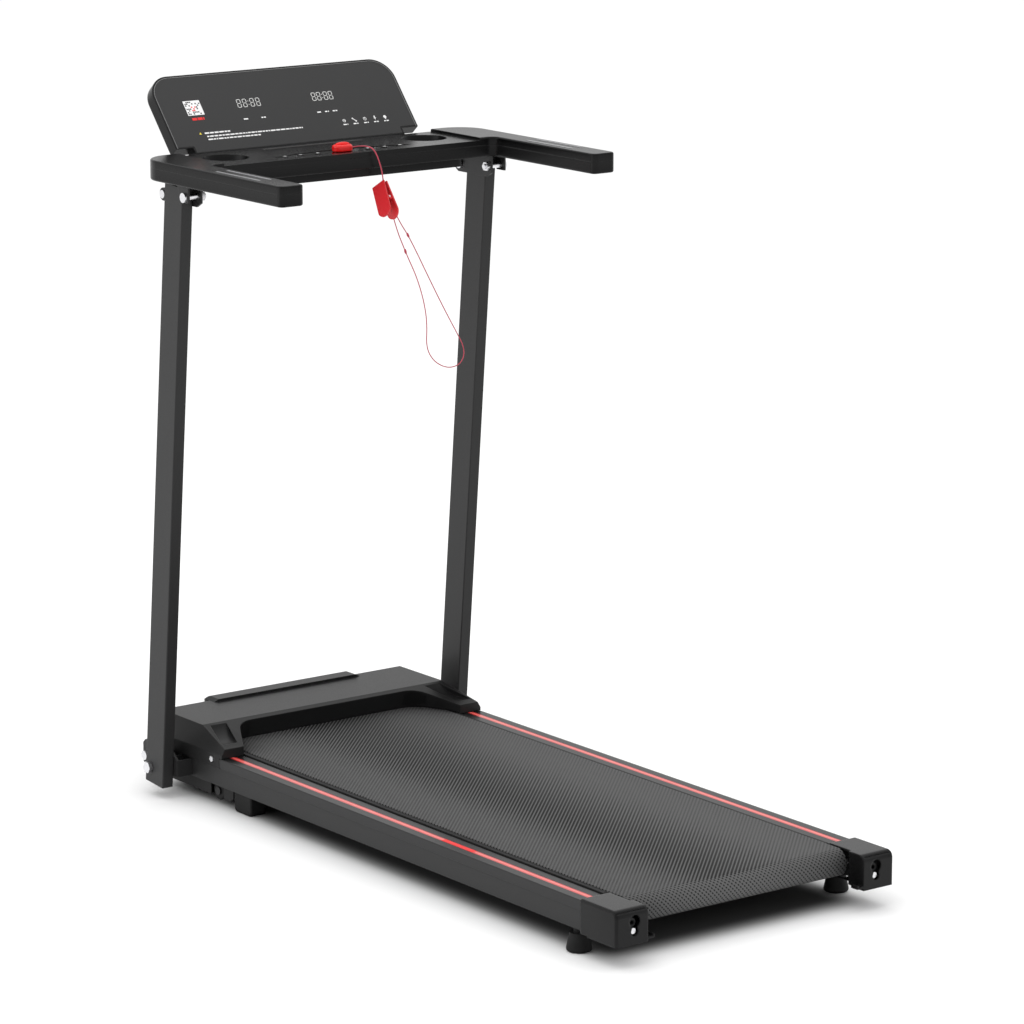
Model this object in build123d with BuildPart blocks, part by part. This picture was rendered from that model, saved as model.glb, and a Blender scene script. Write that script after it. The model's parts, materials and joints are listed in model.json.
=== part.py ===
from build123d import *
import math
import os

os.makedirs("parts", exist_ok=True)

# Folding treadmill. +X is the user's right, +Y is forward, to the console, and +Z is up.
# The origin is on the floor, below the middle of the overall length and width.

# ---------------------------------------------------------------- driving dimensions, mm
LENGTH = 1240.2            # rear end caps to the top edge of the display
DECK_WIDTH = 510           # over the rear end caps
CONSOLE_WIDTH = 621        # over the handles

# running deck
BELT_TOP = 84.0
BELT_T = 1.6
BELT_HALF = 199
BOARD_HALF = 207
BOARD_T = 14
ROLLER_R = 19
BELT_GAP = 0.3             # between the belt and each roller
ROLLER_Z = BELT_TOP - BELT_T - BELT_GAP - ROLLER_R
REAR_ROLLER = 59           # distances forward of the rear end
FRONT_ROLLER = 1105
AXLE_R = 6

# steel frame
FRAME_OUT = 246            # outer face of each side tube
FRAME_W = 30
FRAME_BOTTOM = 34
FRAME_TOP = 64
FRAME_REAR = 70
FRAME_FRONT = 1192
WALL = 1.5
WHEEL = (1031, 22)         # transport wheel: distance forward, height
WHEEL_R = 15

# foot rails
RAIL_IN, RAIL_OUT = 208.8, 250.5
RAIL_TOP = 80.6
STRIPE_X = 229.5
STRIPE_W = 10

# uprights and their fold
UPRIGHT_OUT = 295
TUBE_D = 50
LEAN = 5.1                 # degrees, back towards the user
UPRIGHT_FOOT = (1104.5, 18.3)   # rear bottom corner: distance forward, height
UPRIGHT_LONG = 963.5
FOLD_PIVOT = (1140, 46)
FOLD_BOLT_R = 5
CONSOLE_PIVOT = (1083, 962)
PIN_R = 4
CLEAR = 0.05               # running clearance of a pin in its hole

# console
HANDLE_OUT = CONSOLE_WIDTH / 2
HANDLE_IN = 267
HANDLE_END = 730.5
CONSOLE_FRONT = 1120
SHELL_BOTTOM = 984.4
SHELL_SPLIT = 1003.0
HANDLE_TOP = 1016
TRAY_TOP = 1011.5
TRAY_HALF = 240
TRAY_REAR = 987
SHELL_T = 2.5
CUP = (187, 1064, 36)      # centre across, centre forward, radius

# display
FACE_LOW = (1138.9, 1019.1)     # a point on the face, where its lower corners are
FACE_TILT = 40.4                # degrees from upright, top away from the user
FACE_HALF = 228.5
FACE_HIGH = 133
FACE_CORNER = 38
TONGUE_HALF = 197
TONGUE_DROP = 12
DISPLAY_T = 22
FACE_RIM = 3
DISPLAY_PIVOT = (1133.5, 1000.5)


def fore(distance):
    """Y of a point that lies this far forward of the rear end."""
    return distance - LENGTH / 2


def block(x0, x1, y0, y1, z0, z1, mode=Mode.ADD):
    """A box between two corners, with y given forward of the rear end."""
    with Locations(((x0 + x1) / 2, fore((y0 + y1) / 2), (z0 + z1) / 2)):
        Box(x1 - x0, y1 - y0, z1 - z0, mode=mode)


def rod(x0, x1, y, z, radius, mode=Mode.ADD):
    """A cylinder across the machine, from x0 to x1."""
    with BuildSketch(Plane.YZ.offset(x0)) as disc:
        with Locations((fore(y), z)):
            Circle(radius)
    extrude(disc.sketch, amount=x1 - x0, mode=mode)


def hex_rod(x0, x1, y, z, across, mode=Mode.ADD):
    """A hexagonal head or nut across the machine."""
    with BuildSketch(Plane.YZ.offset(x0)) as hexagon:
        with Locations((fore(y), z)):
            RegularPolygon(across / 2, 6, major_radius=False)
    extrude(hexagon.sketch, amount=x1 - x0, mode=mode)


def post(x, y, z0, z1, radius, mode=Mode.ADD):
    """An upright cylinder."""
    with BuildSketch(Plane.XY.offset(z0)) as disc:
        with Locations((x, fore(y))):
            Circle(radius)
    extrude(disc.sketch, amount=z1 - z0, mode=mode)


def slab(points, x0, x1, mode=Mode.ADD):
    """A side view outline, points forward and up, drawn out across the machine."""
    with BuildSketch(Plane.YZ.offset(x0)) as outline:
        with BuildLine():
            Polyline([(fore(y), z) for y, z in points], close=True)
        make_face()
    extrude(outline.sketch, amount=x1 - x0, mode=mode)


def save(builder, node):
    builder.part.label = node
    export_step(builder.part, f"parts/{node}.step")


def save_pair(builder, node):
    """The piece and its mirror image on the other side, as two solids of one node."""
    with BuildPart() as pair:
        add(builder.part)
        mirror(builder.part, about=Plane.YZ)
    save(pair, node)


def save_mirrored(builder, node):
    with BuildPart() as twin:
        mirror(builder.part, about=Plane.YZ)
    save(twin, node)


# ---------------------------------------------------------------- steel base frame
LEDGE_IN = 200.5
HOOD_SCREWS = (1030, 1150)
HOOD_SCREW_Z = 76
with BuildPart() as frame_tube:
    block(FRAME_OUT - FRAME_W, FRAME_OUT, FRAME_REAR, FRAME_FRONT, FRAME_BOTTOM, FRAME_TOP)
    block(FRAME_OUT - FRAME_W + WALL, FRAME_OUT - WALL, FRAME_REAR, FRAME_FRONT,
          FRAME_BOTTOM + WALL, FRAME_TOP - WALL, Mode.SUBTRACT)
    # ledge that carries the edge of the running board
    block(LEDGE_IN, FRAME_OUT - FRAME_W, 120, 1070, 61, FRAME_TOP)
    block(213, FRAME_OUT - FRAME_W, 120, 1070, 40, 61)
    # slot over the transport wheel
    block(FRAME_OUT - 26, FRAME_OUT - 6, WHEEL[0] - 20, WHEEL[0] + 20, FRAME_BOTTOM - 1, FRAME_BOTTOM + 6,
          Mode.SUBTRACT)
    # tabs that the hood is screwed to
    for y in HOOD_SCREWS:
        block(243, FRAME_OUT, y - 8, y + 8, FRAME_TOP, HOOD_SCREW_Z + 8)
        rod(242, FRAME_OUT + 1, y, HOOD_SCREW_Z, 2, Mode.SUBTRACT)

CROSS_HALF = FRAME_OUT - FRAME_W
with BuildPart() as base_frame:
    add(frame_tube.part)
    mirror(frame_tube.part, about=Plane.YZ)
    for y0, y1 in ((130, 170), (560, 600), (990, 1030)):
        block(-CROSS_HALF, CROSS_HALF, y0, y1, FRAME_BOTTOM, FRAME_BOTTOM + 5)
    block(-CROSS_HALF, CROSS_HALF, 1132, FRAME_FRONT, FRAME_BOTTOM, FRAME_BOTTOM + 4)
save(base_frame, "base_frame")

# bracket that carries each upright: a plate standing off the side tube on two webs
PLATE_IN, PLATE_OUT = 271, 275
BRACKET_REAR, BRACKET_FRONT = 1092, 1191
STOP_BOLT = (1181, 53)
NUT_X = PLATE_IN - 8
with BuildPart() as upright_bracket:
    slab([(BRACKET_REAR, 36), (BRACKET_FRONT - 6, 36), (BRACKET_FRONT, 42), (BRACKET_FRONT, 72),
          (BRACKET_FRONT - 6, 78), (1112, 78), (BRACKET_REAR, 62)], PLATE_IN, PLATE_OUT)
    block(FRAME_OUT, PLATE_IN, BRACKET_REAR, BRACKET_REAR + 4, 36, 62)
    block(FRAME_OUT, PLATE_IN, 1120, 1124, 36, 62)
    block(FRAME_OUT, PLATE_IN, 1158, 1162, 36, 62)
    rod(PLATE_IN - 1, PLATE_OUT + 1, *FOLD_PIVOT, FOLD_BOLT_R, Mode.SUBTRACT)
    rod(PLATE_IN - 1, PLATE_OUT + 1, *STOP_BOLT, PIN_R, Mode.SUBTRACT)
save_pair(upright_bracket, "upright_brackets")

with BuildPart() as fold_bolts:
    for side in (1, -1):
        rod(side * (UPRIGHT_OUT + 0.6), side * (NUT_X - 3), *FOLD_PIVOT, FOLD_BOLT_R)
        hex_rod(side * (UPRIGHT_OUT + 0.6), side * (UPRIGHT_OUT + 7), *FOLD_PIVOT, 17)
        hex_rod(side * NUT_X, side * PLATE_IN, *FOLD_PIVOT, 17)
        rod(side * PLATE_OUT, side * (PLATE_IN - 9), *STOP_BOLT, PIN_R)
        rod(side * PLATE_OUT, side * (PLATE_OUT + 5.5), *STOP_BOLT, 7.5)
        hex_rod(side * (PLATE_IN - 6.5), side * PLATE_IN, *STOP_BOLT, 13)
save(fold_bolts, "bracket_bolts")

# ---------------------------------------------------------------- running deck
BOARD_TOP = BELT_TOP - BELT_T
BOARD_REAR, BOARD_FRONT = 88, 1074
with BuildPart() as running_board:
    block(-BOARD_HALF, BOARD_HALF, BOARD_REAR, BOARD_FRONT, BOARD_TOP - BOARD_T, BOARD_TOP)
    chamfer(running_board.edges().filter_by(Axis.X).group_by(Axis.Z)[-1], 3)
save(running_board, "running_board")

with BuildPart() as cushions:
    for side in (1, -1):
        for y in (150, 430, 710, 990):
            block(side * LEDGE_IN if side > 0 else -BOARD_HALF, BOARD_HALF if side > 0 else -LEDGE_IN,
                  y, y + 45, FRAME_TOP, BOARD_TOP - BOARD_T)
save(cushions, "deck_cushions")

BELT_R = ROLLER_R + BELT_GAP
with BuildPart() as running_belt:
    for grow, mode in ((BELT_T, Mode.ADD), (0, Mode.SUBTRACT)):
        with BuildSketch(Plane.YZ.offset(-BELT_HALF)):
            with BuildLine():
                r = BELT_R + grow
                top_rear = (fore(REAR_ROLLER), ROLLER_Z + r)
                low_rear = (fore(REAR_ROLLER), ROLLER_Z - r)
                top_front = (fore(FRONT_ROLLER), ROLLER_Z + r)
                low_front = (fore(FRONT_ROLLER), ROLLER_Z - r)
                Line(top_rear, top_front)
                ThreePointArc(top_front, (fore(FRONT_ROLLER + r), ROLLER_Z), low_front)
                Line(low_front, low_rear)
                ThreePointArc(low_rear, (fore(REAR_ROLLER - r), ROLLER_Z), top_rear)
            make_face()
        extrude(amount=2 * BELT_HALF, mode=mode)
save(running_belt, "running_belt")

# rollers: a steel tube on two bearings round a fixed axle
ROLLER_HALF = 200
BEARING_R = 13
BEARING_W = 11


def roller_tube(y):
    rod(-ROLLER_HALF, ROLLER_HALF, y, ROLLER_Z, ROLLER_R)
    rod(-ROLLER_HALF, ROLLER_HALF, y, ROLLER_Z, BEARING_R + CLEAR, Mode.SUBTRACT)


PULLEY_R = 25
PULLEY_IN, PULLEY_OUT = 201.5, 211
MOTOR = (1163, 74)
MOTOR_PULLEY_R = 10
with BuildPart() as front_roller:
    roller_tube(FRONT_ROLLER)
save(front_roller, "front_roller")

with BuildPart() as rear_roller:
    roller_tube(REAR_ROLLER)
save(rear_roller, "rear_roller")


def grooved_pulley(y, z, radius, bore):
    """A ribbed belt pulley: a rim with V grooves between two flanges."""
    rod(-PULLEY_OUT, -PULLEY_IN, y, z, radius)
    rim = -PULLEY_OUT + 1.5
    for groove in range(3):
        x = rim + groove * 2.2
        with BuildSketch(Plane.XY.offset(z)) as notch:
            with BuildLine():
                Polyline([(x, fore(y) + radius + 1), (x + 1, fore(y) + radius - 1.6),
                          (x + 2, fore(y) + radius + 1)], close=True)
            make_face()
        revolve(notch.sketch, axis=Axis((0, fore(y), z), (1, 0, 0)), mode=Mode.SUBTRACT)
    rod(-PULLEY_OUT - 1, -PULLEY_IN + 1, y, z, bore, Mode.SUBTRACT)


with BuildPart() as roller_pulley:
    grooved_pulley(FRONT_ROLLER, ROLLER_Z, PULLEY_R, BEARING_R - 3)
    rod(-PULLEY_IN, -ROLLER_HALF, FRONT_ROLLER, ROLLER_Z, ROLLER_R - 2)
    rod(-PULLEY_IN, -ROLLER_HALF, FRONT_ROLLER, ROLLER_Z, BEARING_R - 3, Mode.SUBTRACT)
save(roller_pulley, "roller_pulley")

with BuildPart() as roller_bearings:
    for y in (REAR_ROLLER, FRONT_ROLLER):
        for x0 in (-ROLLER_HALF + 2, ROLLER_HALF - 2 - BEARING_W):
            rod(x0, x0 + BEARING_W, y, ROLLER_Z, BEARING_R)
            rod(x0, x0 + BEARING_W, y, ROLLER_Z, AXLE_R, Mode.SUBTRACT)
save(roller_bearings, "roller_bearings")

TENSION_X = 222
TENSION_R = 4
AXLE_PLATE_IN, AXLE_PLATE_OUT = 213, 216
with BuildPart() as roller_axles:
    rod(-231, 231, REAR_ROLLER, ROLLER_Z, AXLE_R)
    for side in (1, -1):
        with BuildSketch(Plane.XZ.offset(-fore(REAR_ROLLER - 10))):
            with Locations((side * TENSION_X, ROLLER_Z)):
                Circle(TENSION_R)
        extrude(amount=-20, mode=Mode.SUBTRACT)
    rod(-AXLE_PLATE_OUT, AXLE_PLATE_OUT, FRONT_ROLLER, ROLLER_Z, AXLE_R)
save(roller_axles, "roller_axles")

with BuildPart() as axle_plates:
    for side in (1, -1):
        near, far = sorted((side * AXLE_PLATE_IN, side * AXLE_PLATE_OUT))
        # front axle carrier
        block(near, far, 1086, 1124, 40, 80)
        rod(near - 1, far + 1, FRONT_ROLLER, ROLLER_Z, AXLE_R, Mode.SUBTRACT)
        # rear axle carrier, slotted so that the tension bolts can draw the axle back
        block(near, far, 14, 118, 40, 76)
        block(near, far, REAR_ROLLER - 14, REAR_ROLLER + 8, ROLLER_Z - AXLE_R, ROLLER_Z + AXLE_R,
              Mode.SUBTRACT)
        end_near, end_far = sorted((side * AXLE_PLATE_IN, side * 240))
        block(end_near, end_far, 14, 18, 40, 76)
        with BuildSketch(Plane.XZ.offset(-fore(12))):
            with Locations((side * TENSION_X, ROLLER_Z)):
                Circle(TENSION_R)
        extrude(amount=-8, mode=Mode.SUBTRACT)
save(axle_plates, "axle_carriers")

with BuildPart() as tension_bolts:
    for side in (1, -1):
        with BuildSketch(Plane.XZ.offset(-fore(14))):
            with Locations((side * TENSION_X, ROLLER_Z)):
                Circle(TENSION_R)
        extrude(amount=-(REAR_ROLLER + 10 - 14))
        with BuildSketch(Plane.XZ.offset(-fore(7))):
            with Locations((side * TENSION_X, ROLLER_Z)):
                Circle(6.5)
                RegularPolygon(3.2, 6, major_radius=False, mode=Mode.SUBTRACT)
        extrude(amount=-7)
save(tension_bolts, "tension_bolts")

# ---------------------------------------------------------------- drive
MOTOR_R = 34
SHAFT_R = 4
SHAFT_OUT, SHAFT_IN = -213, -48
MOTOR_OUT, MOTOR_IN = -188, -62
with BuildPart() as motor:
    rod(MOTOR_OUT, MOTOR_IN, *MOTOR, MOTOR_R)
    rod(MOTOR_OUT - 6, MOTOR_IN + 6, *MOTOR, 14)
    chamfer(motor.edges().filter_by(GeomType.CIRCLE).filter_by(lambda e: e.radius > 30), 3)
    rod(MOTOR_OUT - 7, MOTOR_IN + 7, *MOTOR, SHAFT_R + CLEAR, Mode.SUBTRACT)
save(motor, "motor")

with BuildPart() as motor_mount:
    for x0 in (MOTOR_OUT + 8, MOTOR_IN - 28):
        block(x0, x0 + 20, 1134, 1190, FRAME_BOTTOM + 4, 56)
        rod(x0, x0 + 20, *MOTOR, MOTOR_R, Mode.SUBTRACT)
save(motor_mount, "motor_mount")

with BuildPart() as motor_rotor:
    rod(SHAFT_OUT, SHAFT_IN, *MOTOR, SHAFT_R)
    # cooling fan on the end away from the pulley
    rod(SHAFT_IN - 6, SHAFT_IN, *MOTOR, 12)
    with BuildSketch(Plane.YZ.offset(SHAFT_IN - 6)):
        with Locations((fore(MOTOR[0]), MOTOR[1])):
            with PolarLocations(0, 8):
                with Locations((19, 0)):
                    Rectangle(18, 1.6)
    extrude(amount=6)
save(motor_rotor, "motor_rotor")

with BuildPart() as motor_pulley:
    grooved_pulley(*MOTOR, MOTOR_PULLEY_R, SHAFT_R)
save(motor_pulley, "motor_pulley")

DRIVE_GAP = 0.3
DRIVE_T = 2.5
with BuildPart() as drive_belt:
    for grow, mode in ((DRIVE_GAP + DRIVE_T, Mode.ADD), (DRIVE_GAP, Mode.SUBTRACT)):
        with BuildSketch(Plane.YZ.offset(-PULLEY_OUT + 1.2)):
            with BuildLine():
                CenterArc((fore(FRONT_ROLLER), ROLLER_Z), PULLEY_R + grow, 0, 360)
                CenterArc((fore(MOTOR[0]), MOTOR[1]), MOTOR_PULLEY_R + grow, 0, 360)
            make_hull()
        extrude(amount=7, mode=mode)
save(drive_belt, "drive_belt")

PLATE_TOP = FRAME_BOTTOM + 4
with BuildPart() as controller:
    block(10, 150, 1136, 1188, PLATE_TOP + 6, PLATE_TOP + 8)
    for x in (14, 146):
        for y in (1140, 1184):
            post(x, y, PLATE_TOP, PLATE_TOP + 6, 3)
    for fin in range(6):
        block(96 + 8 * fin, 98 + 8 * fin, 1140, 1184, PLATE_TOP + 8, PLATE_TOP + 34)
    block(94, 140, 1140, 1184, PLATE_TOP + 8, PLATE_TOP + 12)
    for y in (1150, 1174):
        post(34, y, PLATE_TOP + 8, PLATE_TOP + 38, 10)
    block(54, 84, 1146, 1178, PLATE_TOP + 8, PLATE_TOP + 22)
save(controller, "motor_controller")

# ---------------------------------------------------------------- what it stands and rolls on
FOOT = (238, 106)
with BuildPart() as rear_feet:
    for side in (1, -1):
        with BuildSketch(Plane.XY):
            with Locations((side * FOOT[0], fore(FOOT[1]))):
                Circle(19.5)
        with BuildSketch(Plane.XY.offset(28)):
            with Locations((side * FOOT[0], fore(FOOT[1]))):
                Circle(14)
        loft()
    fillet(rear_feet.edges().group_by(Axis.Z)[0], 4)
    for side in (1, -1):
        post(side * FOOT[0], FOOT[1], 28, FRAME_BOTTOM, 8)

with BuildPart() as front_feet:
    for side in (1, -1):
        near, far = sorted((side * 213, side * 240))
        block(near, far, 937, 984, 0, FRAME_BOTTOM)
    fillet(front_feet.edges().filter_by(Axis.X).group_by(Axis.Z)[0], 7)
    fillet(front_feet.edges().filter_by(Axis.Z), 3)

with BuildPart() as rubber_feet:
    add(rear_feet.part)
    add(front_feet.part)
save(rubber_feet, "rubber_feet")

WHEEL_IN, WHEEL_OUT = 223, 237
with BuildPart() as wheel_axles:
    for side in (1, -1):
        near, far = sorted((side * 217, side * 220))
        block(near, far, WHEEL[0] - 10, WHEEL[0] + 10, 13, FRAME_BOTTOM)
        rod(side * 217, side * 238, *WHEEL, PIN_R)
        rod(side * (WHEEL_OUT + 1), side * (WHEEL_OUT + 2.5), *WHEEL, 6.5)
save(wheel_axles, "transport_axles")

with BuildPart() as wheel:
    rod(WHEEL_IN, WHEEL_OUT, *WHEEL, WHEEL_R)
    fillet(wheel.edges(), 2)
    rod(WHEEL_IN - 1, WHEEL_OUT + 1, *WHEEL, PIN_R + CLEAR, Mode.SUBTRACT)
save(wheel, "transport_wheel_right")
save_mirrored(wheel, "transport_wheel_left")

PAN_HALF = 240
PAN_REAR, PAN_FRONT, PAN_BOTTOM = 986, 1192, 13.5
with BuildPart() as motor_pan:
    slab([(PAN_REAR, FRAME_BOTTOM), (PAN_REAR, PAN_BOTTOM + 6), (PAN_REAR + 8, PAN_BOTTOM),
          (PAN_FRONT - 14, PAN_BOTTOM), (PAN_FRONT, FRAME_BOTTOM)], -PAN_HALF, PAN_HALF)
    slab([(PAN_REAR + 2, FRAME_BOTTOM + 1), (PAN_REAR + 2, PAN_BOTTOM + 7), (PAN_REAR + 9, PAN_BOTTOM + 2),
          (PAN_FRONT - 15, PAN_BOTTOM + 2), (PAN_FRONT - 2, FRAME_BOTTOM + 1)],
         -PAN_HALF + 2, PAN_HALF - 2, Mode.SUBTRACT)
    for side in (1, -1):
        near, far = sorted((side * 215, side * (PAN_HALF + 1)))
        block(near, far, WHEEL[0] - 18, WHEEL[0] + 18, 0, FRAME_BOTTOM + 1, Mode.SUBTRACT)
save(motor_pan, "motor_pan")

# ---------------------------------------------------------------- foot rails and end caps
RAIL_REAR, RAIL_FRONT = 72, 1008
STRIPE_REAR, STRIPE_FRONT = 90, 1006
with BuildPart() as rail:
    block(RAIL_IN, RAIL_OUT, RAIL_REAR, RAIL_FRONT, RAIL_TOP - 2.6, RAIL_TOP)
    block(RAIL_OUT - 2.5, RAIL_OUT, RAIL_REAR, RAIL_FRONT, 66, RAIL_TOP)
    block(RAIL_IN, RAIL_IN + 2.5, RAIL_REAR, RAIL_FRONT, 67, RAIL_TOP)
    fillet(rail.edges().filter_by(Axis.Y).group_by(Axis.Z)[-1], 1.8)
    for x in (219, 240):
        block(x, x + 2, RAIL_REAR, RAIL_FRONT, FRAME_TOP, RAIL_TOP - 2)
    block(STRIPE_X - STRIPE_W / 2, STRIPE_X + STRIPE_W / 2, STRIPE_REAR, STRIPE_FRONT,
          RAIL_TOP - 1.2, RAIL_TOP + 1, Mode.SUBTRACT)
save_pair(rail, "foot_rails")

with BuildPart() as stripes:
    for side in (1, -1):
        near, far = sorted((side * (STRIPE_X - STRIPE_W / 2), side * (STRIPE_X + STRIPE_W / 2)))
        block(near, far, STRIPE_REAR, STRIPE_FRONT, RAIL_TOP - 1.2, RAIL_TOP - 0.1)
save(stripes, "rail_stripes")

CAP_IN, CAP_OUT = 198.5, DECK_WIDTH / 2
CAP_LONG = 81.7
CAP_BOTTOM, CAP_TOP = 32.3, 84.5
CAP_T = 3
SCREW_Z = 51.5
with BuildPart() as end_cap:
    block(CAP_IN, CAP_OUT, 0, CAP_LONG, CAP_BOTTOM, CAP_TOP)
    top_rear = end_cap.edges().filter_by(Axis.X).group_by(Axis.Z)[-1].sort_by(Axis.Y)[0]
    fillet(top_rear, 11)
    fillet(end_cap.edges().filter_by(Axis.Z).group_by(Axis.Y)[0].sort_by(Axis.X)[-1], 4)
    block(CAP_IN + CAP_T, CAP_OUT - CAP_T, CAP_T, CAP_LONG + 1, CAP_BOTTOM + 1.6, CAP_TOP - CAP_T,
          Mode.SUBTRACT)
    # the belt and roller pass through the open inner side
    block(CAP_IN - 1, CAP_IN + CAP_T + 1.5, 34, CAP_LONG + 1, CAP_BOTTOM - 1, CAP_TOP + 1, Mode.SUBTRACT)
    block(CAP_IN - 1, 214, 20, CAP_LONG + 1, CAP_BOTTOM - 1, CAP_BOTTOM + 2, Mode.SUBTRACT)
    block(FOOT[0] - 22, CAP_OUT + 1, 66, CAP_LONG + 1, CAP_BOTTOM - 1, CAP_BOTTOM + 1.7, Mode.SUBTRACT)
    # hook under the belt
    block(CAP_IN - 12, CAP_IN, 0, 14, CAP_BOTTOM + 4, CAP_BOTTOM + 7)
    block(CAP_IN - 12, CAP_IN - 9.5, 0, 14, CAP_BOTTOM + 7, CAP_BOTTOM + 10)
    # keyhole for the tension bolt, with the fixing screw in its narrow end
    with BuildSketch(Plane.XZ.offset(-fore(-1))):
        with Locations((TENSION_X, ROLLER_Z + 3)):
            Circle(9.5)
        with Locations((TENSION_X, (ROLLER_Z + SCREW_Z) / 2 - 1)):
            Rectangle(11, ROLLER_Z - SCREW_Z)
        with Locations((TENSION_X, SCREW_Z)):
            Circle(6.5)
    extrude(amount=-(CAP_T + 2), mode=Mode.SUBTRACT)
save_pair(end_cap, "end_caps")

with BuildPart() as cap_screws:
    for side in (1, -1):
        for radius, start, end in ((2.5, 6, 13.9), (4.5, 3.5, 6)):
            with BuildSketch(Plane.XZ.offset(-fore(start))):
                with Locations((side * TENSION_X, SCREW_Z)):
                    Circle(radius)
            extrude(amount=-(end - start))

# ---------------------------------------------------------------- motor hood
HOOD_HALF = 250
HOOD_REAR, HOOD_CREASE, HOOD_FRONT = 1001.8, 1083.5, 1208
HOOD_TOP, HOOD_STEP, HOOD_SEAT, HOOD_HEM = 116.5, 95.6, 81.0, 64.3
HOOD_T = 2.5
HOOD_SKIRT = 1009.5            # where the hood's hem begins, forward of the foot rails
HOOD_CORNER = 36
SHOULDER_Z, CROWN_HALF = 86, 231
SCOOP_Y = (1015, 1077)
SCOOP_AXIS, SCOOP_R = (1028.8, 174.4), 76.6
# height, half width at the front corners, front edge, corner radius
ARCH_LOW = (HOOD_SEAT, 172, 1079, 42)
ARCH_HIGH = (118, 170, 1072, 36)
ARCH_MOUTH = 214               # half width at ARCH_BACK, behind the hood
ARCH_BACK = 992


def arch(grow, mode):
    """The bay at the back of the hood that the belt runs into, flaring toward its mouth."""
    outlines = []
    for height, half, edge, radius in (ARCH_LOW, ARCH_HIGH):
        with BuildSketch(Plane.XY.offset(height)) as outline:
            Polygon((-half - grow, fore(edge + grow)), (half + grow, fore(edge + grow)),
                    (ARCH_MOUTH + grow, fore(ARCH_BACK)), (-ARCH_MOUTH - grow, fore(ARCH_BACK)), align=None)
            fillet(outline.vertices().group_by(Axis.Y)[-1], radius + grow)
        outlines.append(outline.sketch)
    loft(outlines, mode=mode)


def hood_shell(inset, mode):
    """The outside of the hood, or its inside when inset by the wall; its sides lean in near the top."""
    low = HOOD_SEAT - 1 if inset else HOOD_SEAT
    hem = HOOD_HEM - 1 if inset else HOOD_HEM
    with BuildPart(mode=Mode.PRIVATE) as shell:
        slab([(HOOD_REAR + inset, low), (HOOD_REAR + inset, HOOD_STEP - inset),
              (HOOD_CREASE, HOOD_TOP - inset), (HOOD_FRONT - 6, HOOD_TOP - inset),
              (HOOD_FRONT - inset, HOOD_TOP - 8), (HOOD_FRONT - inset, hem), (HOOD_SKIRT + inset, hem),
              (HOOD_SKIRT + inset, low)], -HOOD_HALF + inset, HOOD_HALF - inset)
        fillet(shell.edges().filter_by(Axis.Z).group_by(Axis.Y)[-1], HOOD_CORNER - inset)
        for side in (1, -1):
            with BuildSketch(Plane.XZ.offset(-fore(HOOD_FRONT + 1))) as shoulder:
                Polygon((side * (HOOD_HALF - inset), SHOULDER_Z), (side * (HOOD_HALF + 2), SHOULDER_Z),
                        (side * (HOOD_HALF + 2), HOOD_TOP + 2),
                        (side * (CROWN_HALF - inset), HOOD_TOP + 2), align=None)
            extrude(shoulder.sketch, amount=HOOD_FRONT - HOOD_REAR + 4, dir=(0, -1, 0), mode=Mode.SUBTRACT)
    add(shell.part, mode=mode)


def scoop(side, grow, mode):
    """The hollow pressed into the top of each arm of the hood."""
    rear, front = SCOOP_Y[0] - grow, SCOOP_Y[1] + grow
    with BuildPart(mode=Mode.PRIVATE) as hollow:
        with BuildSketch(Plane.XY.offset(HOOD_TOP)) as outline:
            Polygon((side * (192 - grow), fore(front)), (side * (222 + grow), fore(front)),
                    (side * (240 + grow), fore(rear)), (side * (212 - grow), fore(rear)), align=None)
        extrude(outline.sketch, amount=30, both=True)
        rod(side * 180, side * 260, *SCOOP_AXIS, SCOOP_R + grow, Mode.INTERSECT)
    add(hollow.part, mode=mode)


with BuildPart() as motor_hood:
    hood_shell(0, Mode.ADD)
    arch(0, Mode.SUBTRACT)
    with BuildPart(mode=Mode.PRIVATE) as inside:
        hood_shell(HOOD_T, Mode.ADD)
        arch(HOOD_T, Mode.SUBTRACT)
        for side in (1, -1):
            scoop(side, HOOD_T, Mode.SUBTRACT)
    add(inside.part, mode=Mode.SUBTRACT)
    for side in (1, -1):
        scoop(side, 0, Mode.SUBTRACT)
    # room for the belt and board to run through
    block(-205, 205, 1000, 1100, HOOD_HEM - 1, BELT_TOP + 0.6, Mode.SUBTRACT)
    block(-208.4, 208.4, 1000, BOARD_FRONT + 2, HOOD_HEM - 1, BOARD_TOP + 0.4, Mode.SUBTRACT)
    for side in (1, -1):
        for y in HOOD_SCREWS:
            rod(side * (HOOD_HALF - 4), side * (HOOD_HALF + 1), y, HOOD_SCREW_Z, 2, Mode.SUBTRACT)
            rod(side * FRAME_OUT, side * (HOOD_HALF - HOOD_T + 0.2), y, HOOD_SCREW_Z, 5)
            rod(side * FRAME_OUT, side * (HOOD_HALF + 1), y, HOOD_SCREW_Z, 2, Mode.SUBTRACT)

with BuildPart() as cover_screws:
    add(cap_screws.part)
    for side in (1, -1):
        for y in HOOD_SCREWS:
            rod(side * (FRAME_OUT - 3), side * HOOD_HALF, y, HOOD_SCREW_Z, 2)
            rod(side * HOOD_HALF, side * (HOOD_HALF + 1.8), y, HOOD_SCREW_Z, 4.5)
save(cover_screws, "cover_screws")

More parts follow.
